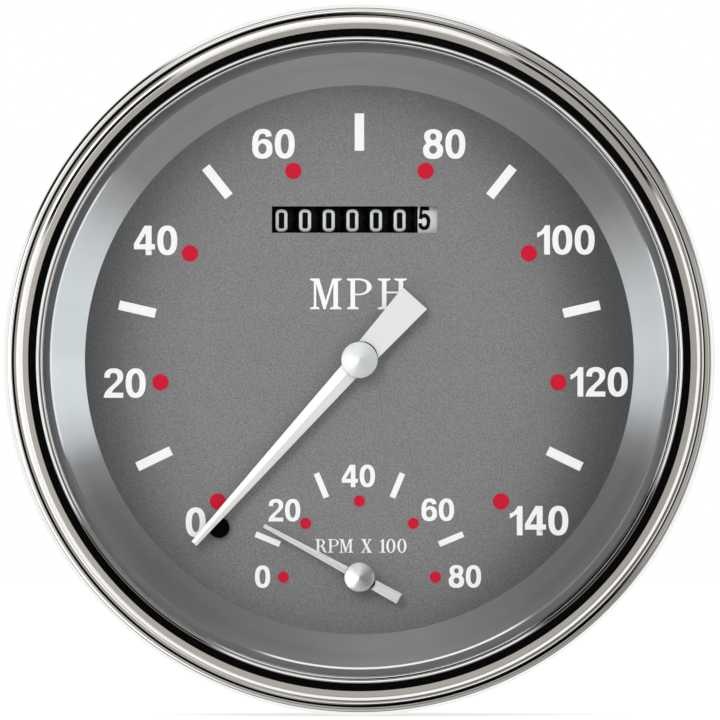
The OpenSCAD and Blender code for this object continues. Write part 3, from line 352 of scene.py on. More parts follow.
SANS_HIGH, SANS_GAP = 100.0, 8.0
SANS = {
    "0": (68, "@34,50,34,50.5,2.35|@34,50,13.5,33.5,2.2"),
    "1": (43.5, "43.5,0 23.8,0 23.8,72.5 0,57 0,74.5 10,78s 20,88s 27,100 43.5,100"),
    "2": (67, "1.5,69 5,85s 17,97s 34,100.5s 52,97s 64,86s 66.5,72s 64,60s 55,48s 42,36s 33,27s "
              "28.5,17.5 67,17.5 67,0 0,0 3,13s 12,27s 28,42s 40,54s 46,63s 47,71s 44,80s "
              "34,84.5s 24.5,81s 21,67.5"),
    "3": (68, "2,73 8,88s 20,98s 34,100.5s 52,97s 63,86s 64.5,74s 60,61s 51,53s 62,46s 68,30s "
              "63,13s 50,2s 33,-0.8s 16,3s 4,14s 0,28 20,30.5 23,20s 33,15.3s 43,19s 47.5,29s "
              "43,40s 33,44.5s 25,43.5 25,59.5 34,61s 42,66s 44.5,74s 41,82s 33,85s 25,81.5s "
              "21.5,71"),
    "4": (71.5, "40,0 60.3,0 60.3,19.5 71.5,19.5 71.5,37 60.3,37 60.3,100 36,100 0,38.5 0,19.5 "
                "40,19.5|40,37 40,74 17.5,37"),
    "5": (68, "3,46.5 10.5,99.5 63,99.5 63,82.5 25,82.5 22,66.5 37,69s 56,62s 67.5,47s 68,33s "
              "62,13s 49,2s 32,-0.8s 14,3s 3,14s 0,27 20,29.5 23.5,19.5s 32.5,15s 43,19.5s "
              "47.5,33s 43,47s 33,51.5s 26,49.5s 20,44.5"),
    "6": (68.5, "66.5,75.5 62,90s 50,99s 36,100.5s 17,96s 5,80s 0,60s 0,46s 1.5,22s 12,5.5s "
                "34,-0.8s 54,4s 66.5,17s 68.5,34s 66,50s 55,62.5s 40,66.5s 29,64s 20.5,57 "
                "21.5,70s 26.5,81s 35.5,84.5s 43,82s 47,73.5|@34.5,33.5,13.8,18,2"),
    "7": (66, "2,99.5 66,99.5 66,84 50,60s 40,30s 37.5,0 18,0 21,27s 30,55s 44,82 2,82"),
    "8": (67.4, "33.7,100.5s 50,97.5s 61,89s 64.3,77s 62,63s 57.5,54s 66,42s 68,30s 64,12s 52,2s "
                "33.7,-0.8s 15.4,2s 3.4,12s -0.6,30s 1.4,42s 9.9,54s 5.4,63s 3.1,77s 6.4,89s "
                "17.4,97.5s|@33.7,74.7,10.5,11.5,2|@33.7,31,13,14,2"),
}
SERIF_HIGH = 30.8
SERIF = {
    "M": "0.5,0 10,0 10,1.4 6.7,2.8 6.7,25.5 13.9,0 16,0 23.9,25.8 23.9,2.8 20.5,1.4 20.5,0 32,0 "
         "32,1.4 28.5,2.8 28.5,28 32,29.2 32,30.8 23,30.8 16.2,8.6 9.8,30.8 0.5,30.8 0.5,29.2 "
         "4.3,28 4.3,2.8 0.5,1.4",
    "P": "0.5,0 12,0 12,1.4 8.6,2.8 8.6,14 14,14 20,15.8s 25.2,22s 21,28.6s 14,30.8 0.5,30.8 "
         "0.5,29.2 4,28 4,2.8 0.5,1.4|8.6,15.6 13.5,15.6 18.5,17.5s 20.3,22.5s 18.5,27.3s "
         "13.5,29 8.6,29",
    "H": "0.8,0 13.5,0 13.5,1.4 9.5,2.8 9.5,15.9 21.6,15.9 21.6,2.8 17.3,1.4 17.3,0 29.7,0 "
         "29.7,1.4 26.2,2.8 26.2,28 29.7,29.4 29.7,30.8 17.3,30.8 17.3,29.4 21.6,28 21.6,17.7 "
         "9.5,17.7 9.5,28 13.5,29.4 13.5,30.8 0.8,30.8 0.8,29.4 4.9,28 4.9,2.8 0.8,1.4",
    "R": "0.5,0 13,0 13,1.4 9.6,2.8 9.6,14.2 13,14.2 16.5,10s 19,3s 23,0 27,0.3 27,1.8 24,4s "
         "21.5,10s 17.5,15 22.5,23s 19,29s 13.5,30.8 0.5,30.8 0.5,29.2 4.2,28 4.2,2.8 0.5,1.4|"
         "9.6,15.8 12.5,15.8 16.2,18s 17.4,22.8s 16,27.5s 12.5,29.2 9.6,29.2",
    "X": "0,30.8 12,30.8 12,29.4 10,28.9 13.3,17.8 18,28.9 16,29.4 16,30.8 24.5,30.8 24.5,29.4 "
         "21,28.6 14.9,16.2 22.6,2.2 25,1.4 25,0 13,0 13,1.4 15,1.9 11.2,12.6 5.9,2.2 8.5,1.4 "
         "8.5,0 0,0 0,1.4 3,2.2 9.7,14.2 3.2,28.6 0,29.4",
    "1": "0,0 14.7,0 14.7,1.3 10.6,2.4 10.6,30.8 8.3,30.8 5,28 0.8,26.3 0.8,25 5.3,26.2 5.3,2.4 "
         "0,1.3",
    "0": "@10.4,15.4,10.4,15.9,2|@10.4,15.4,5.2,14.2,2",
}
# Centre lines of the odometer's thin numerals in a box of 1 by 1; a star closes the line
WHEEL_STROKES = {
    "0": "0.35,0s 0.65,0s 0.91,0.05s 1,0.16s 1,0.3 1,0.7 1,0.84s 0.91,0.95s 0.65,1s 0.35,1s "
         "0.09,0.95s 0,0.84s 0,0.7 0,0.3 0,0.16s 0.09,0.05s*",
    "1": "0.2,0.8 0.6,1 0.6,0",
    "2": "0,0.8 0.12,0.94s 0.5,1s 0.9,0.92s 1,0.74s 0.85,0.52s 0.3,0.22s 0,0 1,0",
    "3": "0,0.86 0.25,0.98s 0.6,1s 0.95,0.87s 0.9,0.63s 0.42,0.53 0.92,0.42s 1,0.2s 0.7,0.02s "
         "0.3,0s 0,0.15",
    "4": "0.75,0 0.75,1 0,0.3 1,0.3",
    "5": "0.95,1 0.12,1 0.05,0.56 0.45,0.62s 0.9,0.5s 1,0.28s 0.8,0.05s 0.4,0s 0,0.13",
    "6": "0.92,0.88 0.6,1s 0.2,0.92s 0,0.55s 0.05,0.15s 0.5,0s 0.95,0.15s 1,0.35s 0.8,0.54s "
         "0.4,0.57s 0.03,0.4",
    "7": "0,1 1,1 0.55,0.45s 0.4,0",
    "8": "0.5,1s 0.92,0.88s 0.92,0.66s 0.5,0.54s 0.08,0.66s 0.08,0.88s* "
         "|0.5,0.54s 0.97,0.4s 1,0.14s 0.5,0s 0,0.14s 0.03,0.4s*",
    "9": "0.08,0.12 0.4,0s 0.8,0.08s 1,0.45s 0.95,0.85s 0.5,1s 0.05,0.85s 0,0.65s 0.2,0.46s "
         "0.6,0.43s 0.97,0.6",
}
OVAL_POINTS = 48


def oval(x, y, half_w, half_h, square):
    """Points of an oval; a squareness of 2 is an ellipse and more is boxier."""
    points = []
    for i in range(OVAL_POINTS):
        c, s = cos(2 * pi * i / OVAL_POINTS), sin(2 * pi * i / OVAL_POINTS)
        points.append((x + half_w * abs(c) ** (2 / square) * (1 if c > 0 else -1),
                       y + half_h * abs(s) ** (2 / square) * (1 if s > 0 else -1)))
    return points


def contours(text, x=0.0, y=0.0, scale=1.0, scale_y=None, turned=None):
    """Reads a letter's contours and puts them at x, y. turned = (w, h) turns it upside down."""
    out = []
    for part in text.split("|"):
        if part.startswith("@"):
            points = oval(*[float(v) for v in part[1:].split(",")])
        else:
            points = [tuple(float(v) for v in word.rstrip("s*").split(",")) +
                      ((True,) if word.rstrip("*").endswith("s") else ())
                      for word in part.split()]
        if turned:
            points = [(turned[0] - p[0], turned[1] - p[1], *p[2:]) for p in points]
        out.append([(x + p[0] * scale, y + p[1] * (scale_y or scale), *p[2:]) for p in points])
    return out


def sans_number(number, x, y, high):
    """Contours of a number that is centred on x, y."""
    scale = high / SANS_HIGH
    glyphs = [SANS["6" if c == "9" else c] for c in number]
    width = sum(wide for wide, text in glyphs) + SANS_GAP * (len(number) - 1)
    at = x - width * scale / 2
    out = []
    for c, (wide, text) in zip(number, glyphs):
        # a 9 is a 6 upside down
        turned = (wide, SANS_HIGH - 0.3) if c == "9" else None
        out += contours(text, at, y - high / 2, scale, turned=turned)
        at += (wide + SANS_GAP) * scale
    return out


# Materials

# Settings of a mix of two colours, whose result is output 2
COLOUR = {"out": 2, "data_type": "RGBA"}


def add(tree, kind, inputs=None, out=0, stops=None, **settings):
    """Adds a node with its settings and links, and gives one of its output sockets. inputs maps
    a socket's name or number to a value, or to the socket that feeds it."""
    node = tree.nodes.new("ShaderNode" + kind)
    for key, value in settings.items():
        setattr(node, key, value)
    if stops:
        elements = node.color_ramp.elements
        while len(elements) < len(stops):
            elements.new(1.0)
        for element, (position, colour) in zip(elements, stops):
            element.position, element.color = position, (*colour, 1)
    for key, value in (inputs or {}).items():
        socket = node.inputs[key]
        if isinstance(value, bpy.types.NodeSocket):
            tree.links.new(value, socket)
        else:
            socket.default_value = (*value, 1) if socket.type == "RGBA" else value
    return node.outputs[out] if len(node.outputs) else node


def measured(tree, size, turn=(0, 0, 0), stretch=(1, 1, 1)):
    """Object coordinates, turned, in units of size millimetres times stretch."""
    return add(tree, "Mapping", {
        "Vector": add(tree, "TexCoord", out="Object"), "Rotation": turn,
        "Scale": tuple(size * METRE * s for s in stretch)}, vector_type="TEXTURE")


def grain(tree, size, detail=2.0, rough=0.6, turn=(0, 0, 0), stretch=(1, 1, 1)):
    """Cloudy grain from 0 to 1, its clouds about size millimetres across and drawn out along
    the axes whose stretch is above 1."""
    return add(tree, "TexNoise", {"Vector": measured(tree, size, turn, stretch), "Scale": 1.0,
                                  "Detail": detail, "Roughness": rough})


def axis_distance(tree, x=0.0, z=0.0, stretch=(1, 0, 1)):
    """Distance in metres from the line along Y through x and z."""
    at = add(tree, "VectorMath", {0: add(tree, "TexCoord", out="Object"), 1: (x, 0, z)},
             operation="SUBTRACT")
    flat = add(tree, "VectorMath", {0: at, 1: stretch}, operation="MULTIPLY")
    return add(tree, "VectorMath", {0: flat}, out=1, operation="LENGTH")


def rings(tree, spacing, detail, rough, z=0.0):
    """Uneven rings about spacing metres apart round the line along Y through z."""
    count = add(tree, "Math", {0: axis_distance(tree, z=z), 1: spacing}, operation="DIVIDE")
    return add(tree, "TexNoise", {"Vector": add(tree, "CombineXYZ", {0: count}), "Scale": 1.0,
                                  "Detail": detail, "Roughness": rough})


def surface(tree, base, pattern, rough, depth, bump=None, **settings):
    """The shader of a solid surface. The pattern leads from one roughness to the other, and
    stands depth metres high unless bump gives a pattern of its own for that."""
    names = {key.replace("_", " "): value for key, value in settings.items()}
    names["Base Color"] = base
    names["Roughness"] = add(tree, "MapRange", {0: pattern, 3: rough[0], 4: rough[1]})
    names["Normal"] = add(tree, "Bump", {"Height": pattern if bump is None else bump,
                                         "Distance": depth})
    add(tree, "OutputMaterial", {0: add(tree, "BsdfPrincipled", names)})


def tone(scene, value):
    """A colour from its hex value, or from the name of a user's colour and a share of it."""
    if isinstance(value, str):
        return linear(value)
    return shade(getattr(scene.speedometer_colours, value[0]), value[1])


def two_tone(tree, scene, light, dark, cloud, fine, rough, depth, stretch=(1, 1, 1),
             contrast=0.25, **settings):
    """A colour that drifts between two tones in clouds of cloud millimetres, with a grain of
    fine millimetres over it."""
    light, dark = tone(scene, light), tone(scene, dark)
    detail = grain(tree, fine, 3.0, stretch=stretch)
    base = add(tree, "Mix", {0: grain(tree, cloud, 4.0), 6: light, 7: dark}, **COLOUR)
    share = add(tree, "MapRange", {0: detail, 1: 0.35, 2: 0.75, 3: 0.0, 4: contrast})
    base = add(tree, "Mix", {0: share, 6: base, 7: shade(dark, 0.6)}, **COLOUR)
    surface(tree, base, detail, rough, depth, **settings)


def spun_metal(tree, scene, colour, rough, cloud):
    """Sheet spun on a former and buffed: a mirror with very faint rings left by the buff."""
    buffed = rings(tree, scene.speedometer_sizes.buff_line, 3.0, 0.6)
    drift = add(tree, "MapRange", {0: grain(tree, cloud, 4.0), 3: 0.0, 4: 0.6})
    base = add(tree, "Mix", {0: drift, 6: tone(scene, (colour, 1.0)),
                             7: tone(scene, (colour, 0.9))}, **COLOUR)
    surface(tree, base, buffed, rough, 1e-7, Metallic=1.0)


def sand_paint(tree, scene):
    """Matt grey paint with sand in it: fine light and dark specks, and painted shade that darkens
    it towards the rim.
    """
    # the specks are about 0.3 mm across; the slower clouds are the spray's own unevenness
    grit = grain(tree, 0.32, 3.0, 0.7)
    specks = add(tree, "MapRange", {0: grit, 1: 0.25, 2: 0.75, 3: 0.62, 4: 1.38})
    clouds = add(tree, "MapRange", {0: grain(tree, 0.9, 3.0), 3: 0.9, 4: 1.1})
    # painted shade of the cone on the dial's rim: it starts a little sooner at the right than at
    # the left, and later at the bottom
    rim_shade_distance = axis_distance(tree, x=-1.8 * METRE, z=-1.0 * METRE, stretch=(1.12, 0, 0.92))
    share = add(tree, "Math", {0: rim_shade_distance, 1: 1.1 * DIAL_VIEW_R * METRE}, operation="DIVIDE")
    darker = [(0, 0), (0.57, 0), (0.64, 0.06), (0.74, 0.17), (0.78, 0.3), (0.82, 0.44),
              (0.855, 0.6), (0.9, 0.76), (0.96, 0.92), (1, 1)]
    edge = add(tree, "ValToRGB", {0: share}, stops=[(at, (v,) * 3) for at, v in darker])
    base = add(tree, "Mix", {0: edge, 6: tone(scene, ("dial", 1.0)),
                             7: tone(scene, ("dial_edge", 1.0))}, **COLOUR)
    for pattern in (specks, clouds):
        base = add(tree, "VectorMath", {0: base, "Scale": pattern}, operation="SCALE")
    surface(tree, base, grit, (0.7, 0.85), 6e-6, Specular_IOR_Level=0.2)


def brushed_metal(tree, scene):
    """Aluminium brushed along the pointer, which lies at its rest angle."""
    along = (0, radians(TACH_REST), 0)
    lines = grain(tree, 0.16, 3.0, 0.7, turn=along, stretch=(1, 1, 14))
    bands = grain(tree, 1.2, 1.0, turn=along, stretch=(1, 1, 5))
    base = add(tree, "Mix", {0: bands, 6: linear("#dededc"), 7: linear("#ffffff")}, **COLOUR)
    share = add(tree, "MapRange", {0: lines, 1: 0.35, 2: 0.7, 3: 0.0, 4: 0.45})
    base = add(tree, "Mix", {0: share, 6: base, 7: linear("#9c9e9f")}, **COLOUR)
    surface(tree, base, lines, (0.35, 0.5), 3e-6, Metallic=0.12)


def turned_metal(tree, scene):
    """Small cone faced off on a lathe: rings round its own axis catch the light in a fan."""
    cut = rings(tree, 0.12 * METRE, 2.0, 0.5, z=TACH_Y * METRE)
    base = add(tree, "Mix", {0: cut, 6: linear("#f7f7f6"), 7: linear("#e6e6e4")}, **COLOUR)
    surface(tree, base, cut, (0.13, 0.2), 2e-6, Metallic=1.0)


def clear_glass(tree, scene):
    """Clear glass: seen only by what it mirrors. Its inner faces mirror nothing, so that light
    from the cone behind it leaves as it does through a real pane."""
    clear = add(tree, "BsdfTransparent", {"Color": (1, 1, 1)})
    gloss = add(tree, "BsdfGlossy", {"Color": (1, 1, 1), "Roughness": 0.02})
    share = add(tree, "Math", {0: 1.0, 1: add(tree, "NewGeometry", out="Backfacing")},
                operation="SUBTRACT")
    smear = add(tree, "MapRange", {0: grain(tree, 9, 3.0), 3: 0.35, 4: 0.5})
    for factor in (add(tree, "Fresnel", {"IOR": 1.45}), smear):
        share = add(tree, "Math", {0: share, 1: factor}, operation="MULTIPLY")
    add(tree, "OutputMaterial", {0: add(tree, "MixShader", {0: share, 1: clear, 2: gloss})})


def smoked_glass(tree, scene):
    """Soda glass of the lamp, faintly smoked by its own heat."""
    base = add(tree, "Mix", {0: grain(tree, 4, 3.0), 6: linear("#fbfaf2"),
                             7: linear("#e6e1cf")}, **COLOUR)
    add(tree, "OutputMaterial", {0: add(tree, "BsdfPrincipled", {
        "Base Color": base, "Roughness": 0.06, "Transmission Weight": 0.9, "IOR": 1.45})})


def close_winding(tree, scene):
    """Enamelled wire in close turns 0.3 mm apart: copper backs, with painted shade in dark lines
    between them.
    """
    # a wave's band repeats every pi / 10 of its own scale
    turns = add(tree, "TexWave", {"Vector": measured(tree, 0.3), "Scale": pi / 10,
                                  "Distortion": 0.3, "Detail": 1.0}, out=1, bands_direction="Z")
    bright = add(tree, "Mix", {0: grain(tree, 3, 2.0), 6: linear("#b9683d"),
                               7: linear("#d08a58")}, **COLOUR)
    # the dark lines between the turns are painted shade
    base = add(tree, "Mix", {0: turns, 6: linear("#4f2312"), 7: bright}, **COLOUR)
    surface(tree, base, turns, (0.5, 0.25), 4e-5, Metallic=0.7, Coat_Weight=0.3)


def masked_board(tree, scene):
    """Glass-fibre board under green solder mask, its copper tracks a lighter green."""
    tracks = add(tree, "TexBrick", {"Vector": measured(tree, 4, (radians(90), 0, 0)),
                                    "Scale": 1.0, "Mortar Size": 0.07, "Row Height": 0.42,
                                    "Brick Width": 1.7}, out=1, offset=0.37)
    weave = grain(tree, 0.3)
    base = add(tree, "Mix", {0: tracks, 6: linear("#1e5a34"), 7: linear("#3f8a55")}, **COLOUR)
    share = add(tree, "MapRange", {0: weave, 3: 0.0, 4: 0.3})
    base = add(tree, "Mix", {0: share, 6: base, 7: linear("#174327")}, **COLOUR)
    surface(tree, base, weave, (0.22, 0.35), 2e-5, bump=tracks, Coat_Weight=0.4)


def matt_card(tree, scene):
    """Matt white card that shows as white where no shadow falls on it."""
    card = add(tree, "MapRange", {0: grain(tree, 60, 2.0), 3: 0.84, 4: 0.86})
    lift = add(tree, "Math", {0: add(tree, "LightPath", out="Is Camera Ray"), 1: 0.5},
               operation="MULTIPLY")
    add(tree, "OutputMaterial", {0: add(tree, "BsdfPrincipled", {
        "Base Color": card, "Roughness": 0.9, "Emission Color": (1, 1, 1),
        "Emission Strength": lift})})


# The material of each slot, and of pieces whose finish differs from their slot's: its name, the
# function that makes it, and that function's values. For two_tone these are the two tones, the
# clouds and the grain in millimetres, the roughness from and to, the bump in metres, and what
# differs from its defaults.
FINISHES = {
    # stainless, colour-buffed until it mirrors
    "polished_steel": ("polished_stainless_steel", spun_metal, "steel", (0.03, 0.075), 12),
    # bright-dipped after spinning: mirrors a little more softly than the steel
    "polished_aluminium": ("polished_aluminium", spun_metal, "cone", (0.06, 0.1), 20),
    # anodised after bead blasting: an even satin grey with a fine grain
    "anodised_rim": ("grey_anodised_aluminium", two_tone, ("flange", 1.08), ("flange", 0.92), 3,
                     0.12, (0.5, 0.62), 3e-6, dict(contrast=0.15, Specular_IOR_Level=0.3)),
    "dial_paint": ("sand_textured_paint", sand_paint),
    # screen-printed ink: an even matt film that takes a little of the paint's grit
    "mark_white": ("white_screen_print", two_tone, ("marks", 1.0), ("marks", 0.96), 1.5, 0.24,
                   (0.5, 0.65), 3e-6, dict(contrast=0.04, Specular_IOR_Level=0.3)),
    # the same ink in red, a little glossier
    "dot_red": ("red_screen_print", two_tone, ("dots", 1.0), ("dots", 0.9), 1.2, 0.24,
                (0.45, 0.6), 3e-6, dict(contrast=0.06, Specular_IOR_Level=0.08)),
    # baked enamel under clear lacquer: its two faces mirror the room's light and dark sides
    "pointer_white": ("white_enamel", two_tone, ("pointer", 1.0), ("pointer", 0.96), 4, 0.5,
                      (0.3, 0.42), 3e-6, dict(contrast=0.03, Coat_Weight=1.0,
                                              Coat_Roughness=0.1, Coat_IOR=2.2)),
    # enamel with fine mica over a turned cone: half mirrors the room, so that its sides differ
    "pearl_enamel": ("pearl_enamel", two_tone, "#f4f6f7", "#ecf0f1", 0.8, 0.1, (0.14, 0.2),
                     2e-6, dict(contrast=0.05, Metallic=0.35)),
    "brushed_aluminium": ("brushed_aluminium", brushed_metal),
    "turned_aluminium": ("turned_aluminium", turned_metal),
    "lens_glass": ("float_glass", clear_glass),
    "lamp_glass": ("smoked_soda_glass", smoked_glass),
    # carbon-filled rubber: nearly black, with a dull bloom; the discs of painted shade under the
    # caps wear it too
    "black_rubber": ("black_rubber", two_tone, "#040404", "#020202", 1.0, 0.3, (0.55, 0.7),
                     6e-6, dict(Specular_IOR_Level=0.06)),
    # moulded acetal: milky and faintly see-through, waxy gloss
    "milky_plastic": ("milky_acetal", two_tone, "#e9e8e2", "#dddbd2", 5, 0.4, (0.32, 0.45),
                      4e-6, dict(contrast=0.08, Subsurface_Weight=0.1,
                                 Subsurface_Scale=0.001)),
    # glass-filled nylon: dull black with the grey swirls of its fibres
    "black_plastic": ("black_nylon", two_tone, "#1b1b1c", "#2a2a2b", 4, 0.35, (0.42, 0.6),
                      1e-5, dict(stretch=(3, 3, 1))),
    # moulded styrene of the number wheels, deep black and half gloss
    "wheel_black": ("black_styrene", two_tone, "#060606", "#0d0d0e", 2, 0.2, (0.45, 0.6),
                    3e-6, dict(stretch=(6, 1, 1), Specular_IOR_Level=0.12)),
    # the same styrene in an off-white
    "wheel_white": ("off_white_styrene", two_tone, "#f2f0ee", "#e8e6e3", 3, 0.2, (0.35, 0.5),
                    3e-6, dict(stretch=(6, 1, 1), contrast=0.05)),
    # hot-stamped silver foil on the wheels' raised numerals
    "wheel_silver": ("silver_foil", two_tone, "#eef2f4", "#d4dadc", 0.6, 0.12, (0.4, 0.55),
                     4e-6, dict(contrast=0.1, Metallic=0.1)),
    # black stamping ink with slightly starved patches
    "wheel_ink": ("black_stamping_ink", two_tone, "#060606", "#121212", 0.7, 0.15, (0.45, 0.6),
                  3e-6, dict(Specular_IOR_Level=0.12)),
    # zinc plate on drawn steel: dull silver with faint straw-coloured clouds and draw lines
    "plated_steel": ("zinc_plated_steel", two_tone, "#a9adb0", "#bab7ac", 14, 0.3, (0.28, 0.44),
                     2e-6, dict(stretch=(1, 18, 1), contrast=0.2, Metallic=1.0)),
    # free-cutting brass: warm yellow with turning lines and a little tarnish
    "brass": ("turned_brass", two_tone, "#d8b968", "#a9853f", 3, 0.18, (0.22, 0.38), 3e-6,
              dict(stretch=(8, 1, 8), Metallic=1.0)),
    # sintered ferrite: charcoal grey, granular, with tiny bright crystals
    "magnet": ("sintered_ferrite", two_tone, "#3a3b3d", "#28292a", 1.0, 0.08, (0.45, 0.65),
               8e-6, dict(Metallic=0.3)),
    "copper_wire": ("enamelled_copper_wire", close_winding),
    "board_green": ("solder_masked_board", masked_board),
    "floor": ("white_card", matt_card),
}


def finish(key):
    """The material of that finish, made once."""
    scene = bpy.context.scene
    if "finish_" + key not in scene:
        name, make, *values = FINISHES[key]
        settings = values.pop() if values and isinstance(values[-1], dict) else {}
        material = bpy.data.materials.new(name)
        material.use_nodes = True
        material.node_tree.nodes.clear()
        make(material.node_tree, scene, *values, **settings)
        scene["finish_" + key] = material.name
    return bpy.data.materials[scene["finish_" + key]]


# Pieces

class SPEEDOMETER_OT_inner_parts(bpy.types.Operator):
    """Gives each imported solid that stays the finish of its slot"""
    bl_idname = "speedometer.inner_parts"
    bl_label = "Inner parts"

    def execute(self, context):
        for row in frame["record"]["subparts"]:
            mesh = frame["nodes"][row["node"]].data
            mesh.materials.clear()
            mesh.materials.append(finish(row["material_slot"]))
        return {"FINISHED"}


class SPEEDOMETER_OT_bezel(bpy.types.Operator):
    """Spins the polished bezel with its lip, crest, groove, bead and rolled back"""
    bl_idname = "speedometer.bezel"
    bl_label = "Bezel"

    def execute(self, context):
        bead_r, bead_top_r, back_r = 1.8, 1.0, 1.4
        bead_mid, bead_base = BEZEL_R - bead_r, Z_LIP + 0.7 - bead_r
        crest_r, roll_r, roll_edge = 59.15, 58.3, 0.15
        # the chamfered lip and the wall up to the crest
        section = [(OPENING_R + out, z) for out, z in (
            (0, Z_LIP_BACK), (0.12, 6.66), (0.16, 6.71), (0.46, 6.994), (0.5, Z_LIP),
            (0.72, Z_LIP), (0.75, 7.05), (0.87, 8.35), (0.9, 8.4), (1.28, 8.759),
            (1.33, Z_CREST))]
        # the crest, its rounded shoulder and the groove
        section += [(crest_r, Z_CREST), (crest_r + 0.1, Z_CREST - 0.03)]
        section += arc(60.065, Z_CREST - 0.607, 0.35, 76, 46.6, 4)
        section += [(60.8, Z_CREST - 0.82), (60.83, Z_CREST - 1.23)]
        # the bead and the roll under the case's flange
        section += arc(bead_mid, bead_base + bead_r - bead_top_r, bead_top_r, 128.3, 90, 8)
        section += arc(bead_mid, bead_base, bead_r, 90, 0, 16)
        section += arc(BEZEL_R - back_r, back_r, back_r, 0, -90, 10)
        section += [(roll_r + roll_edge, 0), (roll_r, roll_edge), (roll_r, SHEET - roll_edge),
                    (roll_r + roll_edge, SHEET)]
        # the sheet's inner side
        section += arc(BEZEL_R - back_r, back_r, back_r - SHEET, -90, 0, 4)
        section += arc(bead_mid, bead_base, bead_r - SHEET, 0, 90, 6)
        section += [(bead_mid - 1, Z_LIP_BACK), (59.3, Z_LIP_BACK), (59.1, Z_CREST - SHEET),
                    (58.3, Z_CREST - SHEET), (57.9, Z_LIP_BACK)]
        bezel = lathe("polished_bezel", section, 288, 11)
        finish_piece(bezel, "polished_steel", "bezel")
        return {"FINISHED"}


class SPEEDOMETER_OT_glass(bpy.types.Operator):
    """Lays in the flat glass with its ground edge"""
    bl_idname = "speedometer.glass"
    bl_label = "Glass"

    def execute(self, context):
        edge = 0.15
        glass = lathe("front_glass", [
            (0, Z_LENS_BACK), (LENS_R - edge, Z_LENS_BACK), (LENS_R, Z_LENS_BACK + edge),
            (LENS_R, Z_LENS_FRONT - edge), (LENS_R - edge, Z_LENS_FRONT), (0, Z_LENS_FRONT)], 144)
        finish_piece(glass, "lens_glass", "lens")
        return {"FINISHED"}


class SPEEDOMETER_OT_trim_ring(bpy.types.Operator):
    """Spins the polished cone with its chamfer and its grey rim"""
    bl_idname = "speedometer.trim_ring"
    bl_label = "Trim ring"

    def execute(self, context):
        rim_t, chamfer_w, chamfer_h = 0.6, 0.34, 0.155
        slant = (Z_TRIM - Z_DIAL) / (CONE_TOP_R - DIAL_VIEW_R)
        wall = rim_t / sin(atan2(slant, 1))
        back_r = DIAL_VIEW_R + wall + (Z_TRIM - rim_t - Z_DIAL) / slant
        ring = lathe("cone_trim_ring", [
            (DIAL_VIEW_R, Z_DIAL), (CONE_TOP_R - chamfer_w, Z_TRIM - chamfer_h),
            (CONE_TOP_R, Z_TRIM - 0.02), (CONE_TOP_R + 0.03, Z_TRIM), (RING_R, Z_TRIM),
            (RING_R, Z_TRIM - rim_t), (back_r, Z_TRIM - rim_t), (DIAL_VIEW_R + wall, Z_DIAL)],
            288, 5)
        for face in ring.data.polygons:
            r = Vector(face.center[:2]).length
            face.material_index = int(r > CONE_TOP_R and face.center.z > Z_TRIM - 0.04)
        finish_piece(ring, "polished_aluminium", "trim_ring",
                     looks=("polished_aluminium", "anodised_rim"))
        return {"FINISHED"}


def hide_from_mirrors(*pieces):
    """The real cone shows no image of what stands on the dial, so here it mirrors none."""
    for piece in pieces:
        piece.visible_glossy = False


def disc(x, y, r, points=96):
    """Round contour."""
    return arc(x, y, r, 0, 360 - 360 / points, points - 1)


def bar(x, y, w, h, turn=0.0, about=(0.0, 0.0)):
    """Rectangular contour with its middle at x, y, turned clockwise about a point."""
    c, s = cos(radians(turn)), -sin(radians(turn))
    corners = [(x + w / 2 * a, y + h / 2 * b) for a, b in ((-1, -1), (1, -1), (1, 1), (-1, 1))]
    return [(about[0] + px * c - py * s, about[1] + px * s + py * c) for px, py in corners]


class SPEEDOMETER_OT_dial(bpy.types.Operator):
    """Cuts the grey dial with its window and holes"""
    bl_idname = "speedometer.dial"
    bl_label = "Dial"

    def execute(self, context):
        spindle_r, pin_r = 0.9, 0.65
        plate = outline("grey_dial", [
            disc(0, 0, DIAL_R, 192), disc(0, 0, spindle_r, 32), disc(0, TACH_Y, spindle_r, 32),
            disc(*polar(STOP_RING, STOP_TURN), pin_r, 32),
            bar(DRUM_X, DRUM_Y, WINDOW_W, WINDOW_H)], Z_DIAL - Z_DIAL_BACK, Z_DIAL_BACK)
        finish_piece(bevel(plate, 0.06), "dial_paint", "dial")
        return {"FINISHED"}


def scale_turns(steps, sweep, between):
    """Turns from twelve o'clock of a scale's steps, or of their middles."""
    count, first = (steps, 0.5) if between else (steps + 1, 0)
    return [sweep * ((i + first) / steps - 0.5) for i in range(count)]


class SPEEDOMETER_OT_scales(bpy.types.Operator):
    """Prints the tick marks and dots of both scales"""
    bl_idname = "speedometer.scales"
    bl_label = "Scales"

    def execute(self, context):
        ticks, dots = [], []
        # steps, sweep and centre; a tick's middle, width and length; a dot's ring, radius and
        # number of points
        for steps, sweep, y, mid, wide, long, ring, dot_r, points in (
                (7, 270, 0, 40.75, 1.7, 6.7, 35.8, 1.45, 64),
                (4, 180, TACH_Y, 17.75, 1.07, 4.7, 13.6, 1.0, 48)):
            ticks += [bar(0, mid, wide, long, turn, (0, y))
                      for turn in scale_turns(steps, sweep, True)]
            dots += [disc(*polar(ring, turn, 0, y), dot_r, points)
                     for turn in scale_turns(steps, sweep, False)]
        for name, shapes, slot, node in (("tick_marks", ticks, "mark_white", "dial_tick_marks"),
                                         ("scale_dots", dots, "dot_red", "dial_dots")):
            film = bevel(outline(name, shapes, MARK_T, Z_DIAL), 0.03, 1)
            hide_from_mirrors(finish_piece(film, slot, node))
        return {"FINISHED"}


